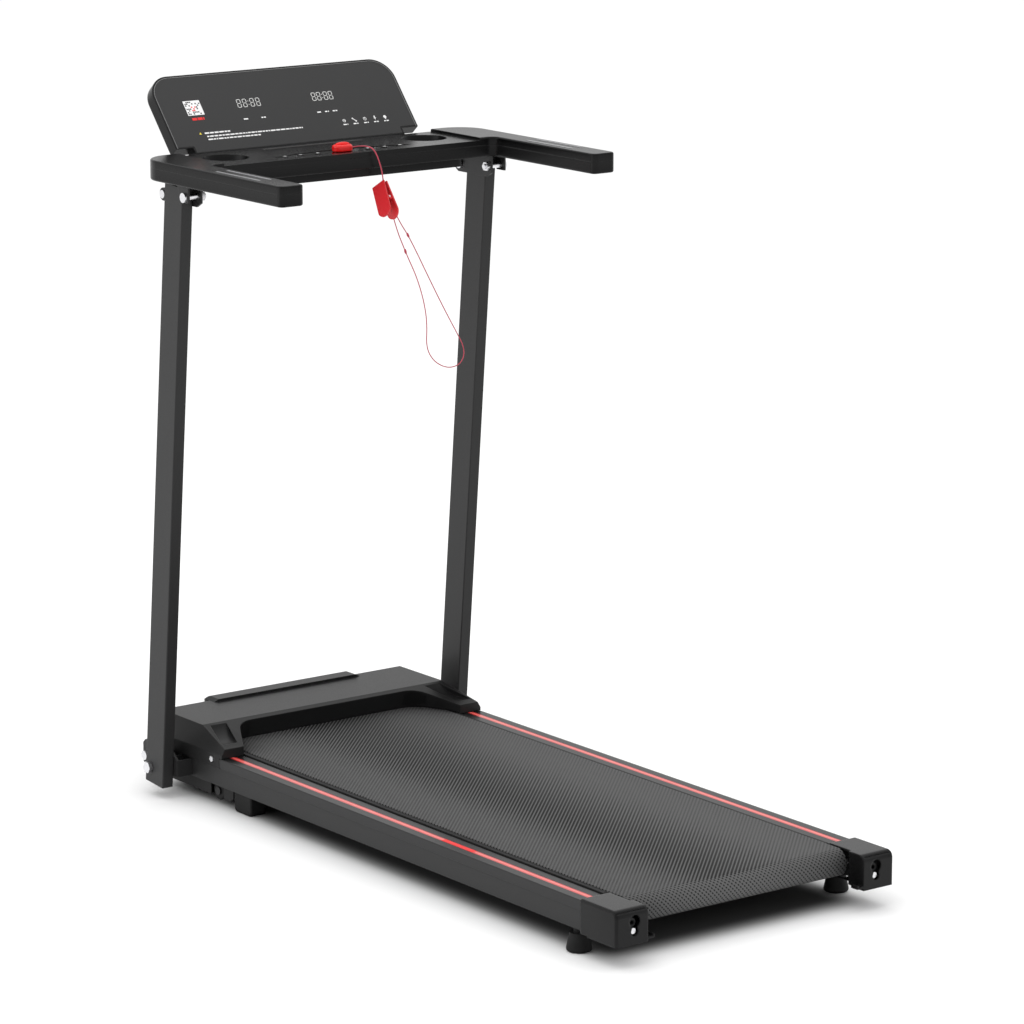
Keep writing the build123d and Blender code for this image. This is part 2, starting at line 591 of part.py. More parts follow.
# carrying grip along the front edge of the hood: a raised lip with a finger pocket under it
GRIP_HALF, GRIP_TOP, GRIP_REAR, GRIP_FRONT = 142, 120.4, HOOD_FRONT - 20, HOOD_FRONT + 9
with BuildPart() as hood_grip:
    block(-GRIP_HALF, GRIP_HALF, GRIP_REAR, GRIP_FRONT, HOOD_TOP - 1, GRIP_TOP)
    chamfer(hood_grip.edges().filter_by(Axis.Y).group_by(Axis.Z)[-1], length=4, length2=9)
    block(-GRIP_HALF, GRIP_HALF, HOOD_FRONT - 1, GRIP_FRONT, 92, HOOD_TOP)
    fillet(hood_grip.edges().filter_by(Axis.X).group_by(Axis.Y)[-1].group_by(Axis.Z)[-1], 3)
    block(4 - GRIP_HALF, GRIP_HALF - 4, HOOD_FRONT, GRIP_FRONT - 3, 91, 104, Mode.SUBTRACT)

with BuildPart() as whole_hood:
    add(motor_hood.part)
    add(hood_grip.part)
save(whole_hood, "motor_hood")

# power inlet and switch in the front wall of the hood
INLET = (-198, 88)
SWITCH = (-162, 88)
with BuildPart() as power_inlet:
    block(INLET[0] - 15, INLET[0] + 15, HOOD_FRONT, HOOD_FRONT + 2, INLET[1] - 13, INLET[1] + 13)
    block(INLET[0] - 11, INLET[0] + 11, HOOD_FRONT + 1, HOOD_FRONT + 3, INLET[1] - 8, INLET[1] + 8,
          Mode.SUBTRACT)
    for x in (-6, 0, 6):
        block(INLET[0] + x - 1, INLET[0] + x + 1, HOOD_FRONT + 1, HOOD_FRONT + 2,
              INLET[1] - 3, INLET[1] + 3)
    # frame of the rocker switch
    block(SWITCH[0] - 11, SWITCH[0] + 11, HOOD_FRONT, HOOD_FRONT + 5, SWITCH[1] - 14, SWITCH[1] + 14)
    block(SWITCH[0] - 7.4, SWITCH[0] + 7.4, HOOD_FRONT + 1, HOOD_FRONT + 6,
          SWITCH[1] - 11, SWITCH[1] + 11, Mode.SUBTRACT)
save(power_inlet, "power_inlet")

with BuildPart() as power_rocker:
    slab([(HOOD_FRONT + 2.5, SWITCH[1] - 8.5), (HOOD_FRONT + 2.5, SWITCH[1] + 8.5),
          (HOOD_FRONT + 7.2, SWITCH[1] + 8.9), (HOOD_FRONT + 5.6, SWITCH[1]),
          (HOOD_FRONT + 5.6, SWITCH[1] - 8.9)], SWITCH[0] - 7, SWITCH[0] + 7)
save(power_rocker, "power_rocker")

# ---------------------------------------------------------------- uprights
lean = math.radians(LEAN)
FORWARD = Vector(0, math.cos(lean), math.sin(lean))
upright_side = Plane(origin=(0, fore(UPRIGHT_FOOT[0]), UPRIGHT_FOOT[1]), x_dir=FORWARD, z_dir=(1, 0, 0))
TUBE_X = PLATE_OUT + 0.3
TUBE_WALL = 1.8
PLUGS = ((0, 44), (UPRIGHT_LONG - 14, UPRIGHT_LONG))     # along the tube, foot and top


def across_upright(x):
    """The side plane of an upright at x, its own X forward and its own Y along the tube."""
    return Plane(origin=upright_side.origin + Vector(x, 0, 0), x_dir=FORWARD, z_dir=(1, 0, 0))


EAR_IN, EAR_OUT = 281, 289
with BuildPart() as upright:
    for x, inset, mode in ((TUBE_X, 0, Mode.ADD), (TUBE_X + TUBE_WALL, TUBE_WALL, Mode.SUBTRACT)):
        with BuildSketch(across_upright(x)):
            with Locations((TUBE_D / 2, UPRIGHT_LONG / 2)):
                Rectangle(TUBE_D - 2 * inset, UPRIGHT_LONG + (2 if inset else 0))
        extrude(amount=UPRIGHT_OUT - TUBE_X - 2 * inset, mode=mode)
    long_edges = upright.edges().filter_by(lambda e: e.length > UPRIGHT_LONG - 1)
    fillet(long_edges.filter_by(lambda e: min(abs(e.center().X - TUBE_X),
                                              abs(e.center().X - UPRIGHT_OUT)) < 0.1), 1.6)
    rod(TUBE_X - 1, UPRIGHT_OUT + 1, *FOLD_PIVOT, FOLD_BOLT_R + CLEAR, Mode.SUBTRACT)
    # ear in front of the top that the console turns on
    with BuildSketch(Plane.YZ.offset(EAR_IN)) as ear:
        with Locations((fore(CONSOLE_PIVOT[0]), CONSOLE_PIVOT[1])):
            Circle(10)
        with Locations((fore(CONSOLE_PIVOT[0] - 6), CONSOLE_PIVOT[1])):
            Rectangle(12, 20)
    extrude(ear.sketch, amount=EAR_OUT - EAR_IN)
    with BuildSketch(across_upright(TUBE_X + TUBE_WALL)) as hollow:
        with Locations((TUBE_D / 2, UPRIGHT_LONG / 2)):
            Rectangle(TUBE_D - 2 * TUBE_WALL, UPRIGHT_LONG + 2)
    extrude(hollow.sketch, amount=UPRIGHT_OUT - TUBE_X - 2 * TUBE_WALL, mode=Mode.SUBTRACT)
    rod(EAR_IN - 1, EAR_OUT + 1, *CONSOLE_PIVOT, PIN_R + CLEAR, Mode.SUBTRACT)
save(upright, "upright_right")
save_mirrored(upright, "upright_left")

with BuildPart() as tube_plugs:
    for x0, x1 in ((TUBE_X + TUBE_WALL, UPRIGHT_OUT - TUBE_WALL),
                   (-UPRIGHT_OUT + TUBE_WALL, -TUBE_X - TUBE_WALL)):
        for low, high in PLUGS:
            with BuildSketch(across_upright(x0)):
                with Locations((TUBE_D / 2, (low + high) / 2)):
                    Rectangle(TUBE_D - 2 * TUBE_WALL, high - low)
            extrude(amount=x1 - x0)
        rod(x0 - 1, x1 + 1, *FOLD_PIVOT, FOLD_BOLT_R + CLEAR, Mode.SUBTRACT)
save(tube_plugs, "upright_plugs")

# ---------------------------------------------------------------- console brackets and frame
BRACKET_IN, BRACKET_T = 271.2, 3.4
EAR_PLATE_X = 295.4
REST_BOLT = (1008, 966)
TOP_PLATE = (1004, 1095)
TOP_PLATE_Z = (982.6, SHELL_BOTTOM)
with BuildPart() as console_bracket:
    slab([(1000, 956), (1000, TOP_PLATE_Z[1]), (TOP_PLATE[1], TOP_PLATE_Z[1]), (TOP_PLATE[1], 953),
          (1088, 949), (1012, 949)], BRACKET_IN, BRACKET_IN + BRACKET_T)
    block(BRACKET_IN, 299, 1000, TOP_PLATE[1], *TOP_PLATE_Z)
    slab([(998, 958), (998, TOP_PLATE_Z[1]), (1030, TOP_PLATE_Z[1]), (1018, 958)],
         EAR_PLATE_X, EAR_PLATE_X + 3)
    for pivot in (CONSOLE_PIVOT, REST_BOLT):
        rod(BRACKET_IN - 1, 300, *pivot, PIN_R, Mode.SUBTRACT)
save_pair(console_bracket, "console_brackets")

with BuildPart() as console_pins:
    for side in (1, -1):
        rod(side * (BRACKET_IN - 1.5), side * (EAR_OUT + 1), *CONSOLE_PIVOT, PIN_R)
        rod(side * (BRACKET_IN - 4), side * BRACKET_IN, *CONSOLE_PIVOT, 7.5)
        rod(side * (EAR_OUT + 0.4), side * (EAR_OUT + 2.4), *CONSOLE_PIVOT, 6.5)
        rod(side * 262, side * (EAR_PLATE_X + 3), *REST_BOLT, PIN_R)
        hex_rod(side * (BRACKET_IN - 6.5), side * BRACKET_IN, *REST_BOLT, 13)
        rod(side * (EAR_PLATE_X + 3), side * (EAR_PLATE_X + 7), *REST_BOLT, 7.5)
save(console_pins, "console_bolts")

CHASSIS_Z = (987.2, 989.2)
with BuildPart() as console_frame:
    block(-298, 298, 1001, 1022, *CHASSIS_Z)
    block(-280, 280, 1099, 1106, *CHASSIS_Z)
    for side in (1, -1):
        near, far = sorted((side * 244, side * 298))
        block(near, far, 1001, 1076, *CHASSIS_Z)
        near, far = sorted((side * 244, side * 280))
        block(near, far, 1070, 1106, *CHASSIS_Z)
save(console_frame, "console_frame")

# ---------------------------------------------------------------- console shells
BELLY = (222, 995, 1105, 972.0)     # half width, rear, front, bottom
BUTTON_Y = 1019
LENS_HALF = 131.5
LENS_DEEP = 0.8
LENS_WIDE = 21
KEY_Y = 1021
LEDGE = (91, 1097, 1108)            # half width, rear, front
STRIP_X = (280, 299)
STRIP_W = 2.6
STRIP_Y = (801, 918)


def console_plan(inset, height):
    """The U-shaped outline of the console from above, inset by a wall."""
    with BuildSketch(Plane.XY.offset(height)) as plan:
        with Locations((0, fore((HANDLE_END + CONSOLE_FRONT) / 2))):
            Rectangle(2 * HANDLE_OUT, CONSOLE_FRONT - HANDLE_END)
        fillet(plan.vertices().group_by(Axis.Y)[-1], 50)
        fillet(plan.vertices().group_by(Axis.Y)[0], 9)
        with BuildSketch(Plane.XY.offset(height), mode=Mode.PRIVATE) as gap:
            with Locations((0, fore((HANDLE_END - 60 + TRAY_REAR) / 2))):
                Rectangle(2 * HANDLE_IN, TRAY_REAR - HANDLE_END + 60)
            fillet(gap.vertices().group_by(Axis.Y)[-1], 13)
        add(gap.sketch, mode=Mode.SUBTRACT)
        fillet(plan.vertices().group_by(Axis.Y)[0].sort_by(Axis.X)[1:-1], 9)
        if inset:
            offset(amount=-inset)
    return plan.sketch


def cup_plan(side, grow, height, taper=0):
    with BuildSketch(Plane.XY.offset(height)) as ring:
        with Locations((side * CUP[0], fore(CUP[1]))):
            Circle(CUP[2] + grow - taper)
    return ring.sketch


def lens_plan(inset, height):
    """The pointed oval of the button panel."""
    with BuildSketch(Plane.XY.offset(height)) as lens:
        with BuildLine():
            left, right = (-LENS_HALF, fore(BUTTON_Y)), (LENS_HALF, fore(BUTTON_Y))
            ThreePointArc(left, (0, fore(BUTTON_Y + LENS_WIDE - inset)), right)
            ThreePointArc(right, (0, fore(BUTTON_Y - LENS_WIDE + inset)), left)
        make_face()
    return lens.sketch


CUP_FLOOR = 977.3
CUP_TAPER = 10
with BuildPart() as console_lower:
    extrude(console_plan(0, SHELL_BOTTOM), amount=SHELL_SPLIT - SHELL_BOTTOM)
    fillet(console_lower.faces().sort_by(Axis.Z)[0].edges(), 3)
    block(-BELLY[0], BELLY[0], BELLY[1], BELLY[2], BELLY[3], SHELL_BOTTOM)
    fillet(console_lower.edges().filter_by(Axis.Z).filter_by(lambda e: e.center().Z < SHELL_BOTTOM - 2), 20)
    extrude(console_plan(SHELL_T, SHELL_BOTTOM + SHELL_T), amount=SHELL_SPLIT, mode=Mode.SUBTRACT)
    block(-BELLY[0] + SHELL_T, BELLY[0] - SHELL_T, BELLY[1] + SHELL_T, BELLY[2] - SHELL_T,
          BELLY[3] + SHELL_T, SHELL_BOTTOM + SHELL_T + 1, Mode.SUBTRACT)
    # knuckles that the display turns on
    for side in (1, -1):
        near, far = sorted((side * 199, side * 226))
        block(near, far, CONSOLE_FRONT - 3, DISPLAY_PIVOT[0], 994, 1002.6)
        rod(side * 199, side * 226, *DISPLAY_PIVOT, 7)
        rod(side * 198, side * 227, *DISPLAY_PIVOT, 3, Mode.SUBTRACT)
save(console_lower, "console_lower_shell")

CONSOLE_FILLET = 3
with BuildPart() as console_upper:
    extrude(console_plan(0, SHELL_SPLIT), amount=HANDLE_TOP - SHELL_SPLIT)
    fillet(console_upper.faces().sort_by(Axis.Z)[-1].edges(), CONSOLE_FILLET)
    # the tray lies a step lower than the handles
    block(-TRAY_HALF, TRAY_HALF, TRAY_REAR - 1, CONSOLE_FRONT + 1, TRAY_TOP, HANDLE_TOP + 1,
          Mode.SUBTRACT)
    extrude(console_plan(SHELL_T, SHELL_SPLIT - 1), amount=TRAY_TOP - SHELL_T - SHELL_SPLIT + 1,
            mode=Mode.SUBTRACT)
    for side in (1, -1):
        loft([cup_plan(side, SHELL_T, TRAY_TOP - 1), cup_plan(side, SHELL_T - CUP_TAPER, CUP_FLOOR - SHELL_T)])
        loft([cup_plan(side, 0, TRAY_TOP + 0.2), cup_plan(side, -CUP_TAPER, CUP_FLOOR)], mode=Mode.SUBTRACT)
        # grooves for the metal strips let into each handle
        for x in STRIP_X:
            block(side * x - STRIP_W / 2, side * x + STRIP_W / 2, *STRIP_Y, HANDLE_TOP - 1, HANDLE_TOP + 1,
                  Mode.SUBTRACT)
    # shelf groove for a tablet, and the opening for the button panel
    block(-LEDGE[0], LEDGE[0], LEDGE[1], LEDGE[2], TRAY_TOP - 1, TRAY_TOP + 1, Mode.SUBTRACT)
    extrude(lens_plan(0, TRAY_TOP - 4), amount=5, mode=Mode.SUBTRACT)
save(console_upper, "console_upper_shell")

with BuildPart() as handle_strips:
    for side in (1, -1):
        for x in STRIP_X:
            block(side * x - STRIP_W / 2, side * x + STRIP_W / 2, *STRIP_Y, HANDLE_TOP - 1, HANDLE_TOP + 0.6)
save(handle_strips, "handle_strips")

with BuildPart() as tablet_strip:
    block(-LEDGE[0], LEDGE[0], LEDGE[1], LEDGE[2], TRAY_TOP - 1, TRAY_TOP + 0.4)
    block(-LEDGE[0], LEDGE[0], LEDGE[1], LEDGE[1] + 2, TRAY_TOP, TRAY_TOP + 1.6)
save(tablet_strip, "tablet_strip")

# ---------------------------------------------------------------- buttons and safety key
PANEL_TOP = TRAY_TOP - LENS_DEEP
BUTTON_X = (-108, -79, -47, 47, 79, 108)
BUTTON_R = 5
STEM_R = 6
with BuildPart() as button_panel:
    extrude(lens_plan(0, PANEL_TOP - 2), amount=2)
    for x in BUTTON_X:
        post(x, BUTTON_Y, PANEL_TOP - 3, PANEL_TOP + 1, BUTTON_R + CLEAR, Mode.SUBTRACT)
    # socket of the safety key
    post(0, KEY_Y, PANEL_TOP - 8, PANEL_TOP - 2, STEM_R + 2)
    post(0, KEY_Y, PANEL_TOP - 9, PANEL_TOP + 1, STEM_R + CLEAR, Mode.SUBTRACT)
save(button_panel, "button_panel")

for number, x in enumerate(BUTTON_X, 1):
    with BuildPart() as button:
        post(x, BUTTON_Y, PANEL_TOP - 5, PANEL_TOP + 1.4, BUTTON_R)
        fillet(button.edges().group_by(Axis.Z)[-1], 0.6)
        post(x, BUTTON_Y, PANEL_TOP - 3.4, PANEL_TOP - 2.2, BUTTON_R + 0.8)
    save(button, f"button_{number}")

BOARD_Z = PANEL_TOP - 9.2
with BuildPart() as button_board:
    block(-125, 125, BUTTON_Y - 9, BUTTON_Y + 9, BOARD_Z, BOARD_Z + 1.2)
    for x in BUTTON_X:
        post(x, BUTTON_Y, BOARD_Z + 1.2, BOARD_Z + 2.8, 2)
save(button_board, "button_board")

KEY_BOTTOM = PANEL_TOP + 0.2
KEY_HALF, KEY_WIDE, KEY_HIGH = 17, 22, 10.5
with BuildPart() as safety_key:
    with BuildSketch(Plane.XY.offset(KEY_BOTTOM)):
        with Locations((0, fore(KEY_Y))):
            SlotOverall(2 * KEY_HALF, KEY_WIDE)
    extrude(amount=KEY_HIGH)
    fillet(safety_key.edges().group_by(Axis.Z)[-1], 4)
    fillet(safety_key.edges().group_by(Axis.Z)[0], 2)
    post(0, KEY_Y, PANEL_TOP - 7, KEY_BOTTOM + 2, STEM_R)
save(safety_key, "safety_key")

# ---------------------------------------------------------------- display
tilt = math.radians(FACE_TILT)
face = Plane(origin=(0, fore(FACE_LOW[0]), FACE_LOW[1]), x_dir=(1, 0, 0),
             z_dir=(0, -math.cos(tilt), math.sin(tilt)))


def display_outline(inset, back):
    """The outline of the display in a plane parallel to its face, this far behind it."""
    with BuildSketch(face.offset(-back)) as outline:
        with Locations((0, FACE_HIGH / 2)):
            Rectangle(2 * FACE_HALF, FACE_HIGH)
        fillet(outline.vertices().group_by(Axis.Y)[-1], FACE_CORNER)
        with Locations((0, -TONGUE_DROP / 2)):
            Rectangle(2 * TONGUE_HALF, TONGUE_DROP)
        if inset:
            offset(amount=-inset)
    return outline.sketch


FACE_T = 3
with BuildPart() as display_face:
    extrude(display_outline(FACE_RIM, FACE_T), amount=FACE_T)
save(display_face, "display_face")

with BuildPart() as display_back:
    extrude(display_outline(0, DISPLAY_T), amount=DISPLAY_T)
    rear = display_back.faces().sort_by(Axis((0, 0, 0), face.z_dir))[0]
    fillet(rear.edges(), 4)
    extrude(display_outline(FACE_RIM, FACE_T), amount=FACE_T + 1, mode=Mode.SUBTRACT)
    extrude(display_outline(SHELL_T, DISPLAY_T - SHELL_T), amount=DISPLAY_T - SHELL_T - FACE_T,
            mode=Mode.SUBTRACT)
    # lugs that turn on the console's knuckles
    for side in (1, -1):
        near, far = sorted((side * 186, side * 196.6))
        rod(near, far, *DISPLAY_PIVOT, 7)
        slab([(1131.5, 1006), (1134, 1010), (1147, 998), (1140, 994)], near, far)
        rod(side * 185, side * 197, *DISPLAY_PIVOT, 3, Mode.SUBTRACT)
save(display_back, "display_back")

with BuildPart() as display_pins:
    for side in (1, -1):
        rod(side * 186, side * 226, *DISPLAY_PIVOT, 3 - CLEAR)
save(display_pins, "display_pins")

with BuildPart() as display_board:
    with BuildSketch(face.offset(-FACE_T - 6)):
        with Locations((0, 58)):
            Rectangle(390, 84)
    extrude(amount=1.6)
    with BuildSketch(face.offset(-FACE_T - 4.4)):
        with Locations((-64, 72), (75, 72)):
            Rectangle(52, 22)
    extrude(amount=4.4)
save(display_board, "display_board")

# ---------------------------------------------------------------- clip of the safety lanyard
CLIP = Plane(origin=(41, fore(965), 937), x_dir=(-0.16, -0.68, -0.72), z_dir=(0.95, 0.09, -0.30))
JAW_TOP, JAW_END = -29, 33          # along the clip from its pin
JAW_HALF = 12.5
JAW_T = 2.6
JAW_STANDOFF = 5.6
JAW_SPREAD = 7.1                    # degrees that each jaw leans out towards its end
CLIP_PIN_R = 1.6


def jaw_plane(side):
    """The inner face of one jaw."""
    return CLIP.rotated((0, -side * JAW_SPREAD, 0)).offset(side * JAW_STANDOFF)


def across_clip(v):
    """A plane square to the pin, at v along it."""
    return Plane(origin=CLIP.origin + CLIP.y_dir * v, x_dir=CLIP.x_dir, z_dir=CLIP.y_dir)


def jaw(side, lugs):
    """One jaw, with its lugs for the pin standing between each pair of distances along it."""
    with BuildPart() as plate:
        with BuildSketch(jaw_plane(side)):
            with Locations(((JAW_TOP + JAW_END - JAW_HALF) / 2, 0)):
                Rectangle(JAW_END - JAW_HALF - JAW_TOP, 2 * JAW_HALF)
            with Locations((JAW_END - JAW_HALF, 0)):
                Circle(JAW_HALF)
        extrude(amount=side * JAW_T)
        for near, far in lugs:
            with BuildSketch(across_clip(near)):
                Circle(3.2)
                with Locations((0, -side * 3.4)):
                    Rectangle(6.4, 6.8)
            extrude(amount=far - near)
            with BuildSketch(across_clip(near - 1)):
                Circle(CLIP_PIN_R + CLEAR)
            extrude(amount=far - near + 2, mode=Mode.SUBTRACT)
    return plate


fixed_jaw = jaw(1, ((-11.4, -8), (8, 11.4)))
save(fixed_jaw, "clip_jaw_fixed")
moving_jaw = jaw(-1, ((-7.6, -4.4), (4.4, 7.6)))
save(moving_jaw, "clip_jaw_moving")

with BuildPart() as clip_pin:
    with BuildSketch(across_clip(-12)):
        Circle(CLIP_PIN_R)
    extrude(amount=24)
save(clip_pin, "clip_pin")

with BuildPart() as clip_spring:
    with BuildSketch(across_clip(-4)):
        Circle(3.4)
        Circle(CLIP_PIN_R, mode=Mode.SUBTRACT)
    extrude(amount=8)
save(clip_spring, "clip_spring")

# ---------------------------------------------------------------- safety lanyard cords
LEAD_R, LOOP_R = 1.0, 0.8


def arc_radii(points, share=0.45):
    """The radius of each corner's arc: as large as its two runs leave room for."""
    corners = [Vector(*p) for p in points]
    radii = []
    for before, here, after in zip(corners, corners[1:], corners[2:]):
        into, out = here - before, after - here
        half_turn = math.radians(into.get_angle(out)) / 2
        radii.append(share * min(into.length, out.length) / math.tan(half_turn))
    return radii


def cord(points, radius, node):
    """A round cord along straight runs joined by tangent arcs."""
    route = [(x, fore(y), z) for x, y, z in points]
    radii = arc_radii(route)
    with BuildPart() as tube:
        with BuildLine() as path:
            FilletPolyline(*route, radius=radii)
        start = Plane(origin=path.wire() @ 0, z_dir=path.wire() % 0)
        with BuildSketch(start):
            Circle(radius)
        sweep(path=path.wire())
    length = path.wire().length
    print(node, "length", round(length, 1), "radii", [round(r, 1) for r in radii],
          "volume ratio", round(tube.part.volume / (math.pi * radius ** 2 * length), 4))
    save(tube, node)


# from the key's end, over the back edge of the tray and down between the jaws to the spring
LEAD = [
    (17.1, 1021, 1015.5), (22.5, 1021, 1015.5), (27.5, 1012, 1017.5), (30, 997.5, 1018.6),
    (32.5, 984, 1016.6), (35.5, 977, 1005), (39.5, 975.6, 992), (44, 976.6, 979.5),
    (48.2, 979.7, 965), (45.3, 973.4, 953.2), (41.8, 966.2, 939.9),
]
cord(LEAD, LEAD_R, "lanyard_lead")

# the long loop that hangs from the end of the fixed jaw
LOOP = [
    (45.3, 947.8, 909.7), (50.5, 945.9, 890), (59.5, 944.6, 868.5), (69.5, 944, 846.5),
    (83.5, 943.6, 819), (95.5, 943.6, 787), (103, 943.8, 756), (104.8, 944, 731.5),
    (103.4, 944, 709), (108, 944, 692), (121.5, 943.6, 675.5), (144, 943, 664.8),
    (166, 942.6, 667.5), (176, 942.6, 681.5), (173.5, 942.4, 698), (163.5, 942.2, 715.5),
    (142.8, 942, 749.5), (122, 941.8, 785.5), (101.7, 941.6, 822), (81.8, 941.5, 858.5),
    (66, 941.5, 885.5), (55, 941.6, 900.5), (47.3, 942.4, 914.4),
]
cord(LOOP, LOOP_R, "lanyard_loop")
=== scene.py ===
import json
import math
import random

import bmesh
import bpy
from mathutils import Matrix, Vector


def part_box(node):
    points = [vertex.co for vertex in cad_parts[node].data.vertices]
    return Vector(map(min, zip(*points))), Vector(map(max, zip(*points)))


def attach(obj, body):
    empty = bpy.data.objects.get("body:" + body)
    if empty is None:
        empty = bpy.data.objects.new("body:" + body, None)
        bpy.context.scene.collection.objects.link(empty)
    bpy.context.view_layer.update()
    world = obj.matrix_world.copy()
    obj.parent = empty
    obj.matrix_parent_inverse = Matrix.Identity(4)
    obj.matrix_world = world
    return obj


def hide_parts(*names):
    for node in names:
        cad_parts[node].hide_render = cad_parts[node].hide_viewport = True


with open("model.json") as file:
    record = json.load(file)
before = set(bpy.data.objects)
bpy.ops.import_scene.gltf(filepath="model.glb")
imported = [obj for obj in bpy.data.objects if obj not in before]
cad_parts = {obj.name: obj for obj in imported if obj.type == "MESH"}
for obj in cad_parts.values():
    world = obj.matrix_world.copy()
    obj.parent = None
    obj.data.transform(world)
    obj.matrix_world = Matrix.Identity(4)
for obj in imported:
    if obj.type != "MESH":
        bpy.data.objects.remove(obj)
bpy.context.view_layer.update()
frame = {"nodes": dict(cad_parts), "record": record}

MM = 0.001
nodes = frame["nodes"]
finishes = {}

# the Mix node has a socket of each name for each kind of value, so its colour sockets go by place
MIX_FACTOR, MIX_FIRST, MIX_SECOND, MIX_RESULT = 0, 6, 7, 2
# radians that a wave texture goes through in one unit of length at a scale of 1
WAVE_RATE = 20
BEVEL_SAMPLES = 4
# where Geometry's Pointiness says that a raised edge begins, and where it is sharp, for the painted
# edge highlight
EDGE_START, EDGE_SHARP = 0.52, 0.60
RIB_PITCH = 5.2 * MM
STRAND_PITCH = 1.6 * MM


# ---------------------------------------------------------------- helpers for node materials
def new_material(name):
    """A node material, kept in finishes under its name. Gives its tree and its shader."""
    made = bpy.data.materials.new(name)
    made.use_nodes = True
    finishes[name] = made
    return made.node_tree, made.node_tree.nodes["Principled BSDF"]


def grey(level):
    return (level, level, level)


def scaled(colour, factor):
    return [channel * factor for channel in colour]


def own_place(tree):
    """Coordinates in metres that stay with the piece."""
    return tree.nodes.new("ShaderNodeTexCoord").outputs["Object"]


def noise(tree, place, scale, detail=3.0):
    made = tree.nodes.new("ShaderNodeTexNoise")
    made.inputs["Scale"].default_value = scale
    made.inputs["Detail"].default_value = detail
    made.inputs["Roughness"].default_value = 0.55
    tree.links.new(place, made.inputs["Vector"])
    return made.outputs["Fac"]


def spread(tree, value, low=0.0, high=1.0, start=0.25, end=0.75):
    """A value between start and end, where most of a noise lies, spread from low to high."""
    made = tree.nodes.new("ShaderNodeMapRange")
    made.inputs["From Min"].default_value = start
    made.inputs["From Max"].default_value = end
    made.inputs["To Min"].default_value = low
    made.inputs["To Max"].default_value = high
    tree.links.new(value, made.inputs["Value"])
    return made.outputs["Result"]


def mix_colour(tree, factor, first, second):
    """Two colours mixed by a linked factor. Each is a colour of three numbers or a node's output."""
    made = tree.nodes.new("ShaderNodeMix")
    made.data_type = "RGBA"
    tree.links.new(factor, made.inputs[MIX_FACTOR])
    for socket, colour in ((made.inputs[MIX_FIRST], first), (made.inputs[MIX_SECOND], second)):
        if hasattr(colour, "links"):
            tree.links.new(colour, socket)
        else:
            socket.default_value = (*colour, 1.0)
    return made.outputs[MIX_RESULT]


def rounded_edges(tree, radius):
    made = tree.nodes.new("ShaderNodeBevel")
    made.samples = BEVEL_SAMPLES
    made.inputs["Radius"].default_value = radius
    return made.outputs["Normal"]


def bump(tree, height, distance, strength=1.0, normal=None):
    made = tree.nodes.new("ShaderNodeBump")
    made.inputs["Distance"].default_value = distance
    made.inputs["Strength"].default_value = strength
    tree.links.new(height, made.inputs["Height"])
    if normal:
        tree.links.new(normal, made.inputs["Normal"])
    return made.outputs["Normal"]


def wave(tree, place, angle, pitch):
    """Ribs a pitch apart, turned by an angle in the plane of the coordinates' first two axes."""
    turned = tree.nodes.new("ShaderNodeMapping")
    turned.inputs["Rotation"].default_value = (0, 0, math.radians(angle))
    tree.links.new(place, turned.inputs["Vector"])
    made = tree.nodes.new("ShaderNodeTexWave")
    made.bands_direction = "X"
    made.inputs["Scale"].default_value = math.tau / WAVE_RATE / pitch
    tree.links.new(turned.outputs["Vector"], made.inputs["Vector"])
    return made.outputs["Fac"]


# ---------------------------------------------------------------- kinds of material
def moulded(name, colour, rough, grain=900, depth=0.03, edge=0.8, mottle=0.12, edge_highlight=0.5,
            specular=0.24, metallic=0.0):
    """Plastic, rubber or paint: a fine grain, faint mottling and rounded edges with a slightly paler
    painted highlight.

    The grain's depth and the edges' radius are in millimetres.
    """
    tree, shader = new_material(name)
    place = own_place(tree)
    broad = spread(tree, noise(tree, place, scale=14.0))
    base = mix_colour(tree, broad, scaled(colour, 1 - mottle), scaled(colour, 1 + mottle))
    # painted highlight: edges that Pointiness finds sharp are mixed toward a paler colour, as if they
    # caught the light
    pointed = tree.nodes.new("ShaderNodeNewGeometry").outputs["Pointiness"]
    highlit_edges = spread(tree, pointed, high=edge_highlight, start=EDGE_START, end=EDGE_SHARP)
    highlight_colour = [min(1.0, channel * 1.7 + 0.012) for channel in colour]
    tree.links.new(mix_colour(tree, highlit_edges, base, highlight_colour), shader.inputs["Base Color"])
    fine = noise(tree, place, scale=grain, detail=2.0)
    roughness = spread(tree, fine, low=rough - 0.05, high=rough + 0.07)
    tree.links.new(roughness, shader.inputs["Roughness"])
    normal = bump(tree, fine, distance=depth * MM, normal=rounded_edges(tree, radius=edge * MM))
    tree.links.new(normal, shader.inputs["Normal"])
    shader.inputs["Metallic"].default_value = metallic
    shader.inputs["Specular IOR Level"].default_value = specular


def printed(name, colour, rough=0.5):
    """Ink or a lit segment on the display's face."""
    moulded(name, colour, rough, depth=0.01, edge=0.1)


def bare_metal(name, colour, rough, stretch=(1.0, 1.0, 30.0)):
    """Zinc plate or ground steel, with faint marks squeezed thin along one axis."""
    tree, shader = new_material(name)
    place = own_place(tree)
    drawn = tree.nodes.new("ShaderNodeMapping")
    drawn.inputs["Scale"].default_value = stretch
    tree.links.new(place, drawn.inputs["Vector"])
    streaks = noise(tree, drawn.outputs["Vector"], scale=120.0, detail=4.0)
    cloud = spread(tree, noise(tree, place, scale=60.0))
    tree.links.new(mix_colour(tree, cloud, scaled(colour, 0.85), colour), shader.inputs["Base Color"])
    roughness = spread(tree, streaks, low=rough - 0.06, high=rough + 0.1)
    tree.links.new(roughness, shader.inputs["Roughness"])
    normal = bump(tree, streaks, distance=0.02 * MM, normal=rounded_edges(tree, radius=0.5 * MM))
    tree.links.new(normal, shader.inputs["Normal"])
    shader.inputs["Metallic"].default_value = 1.0


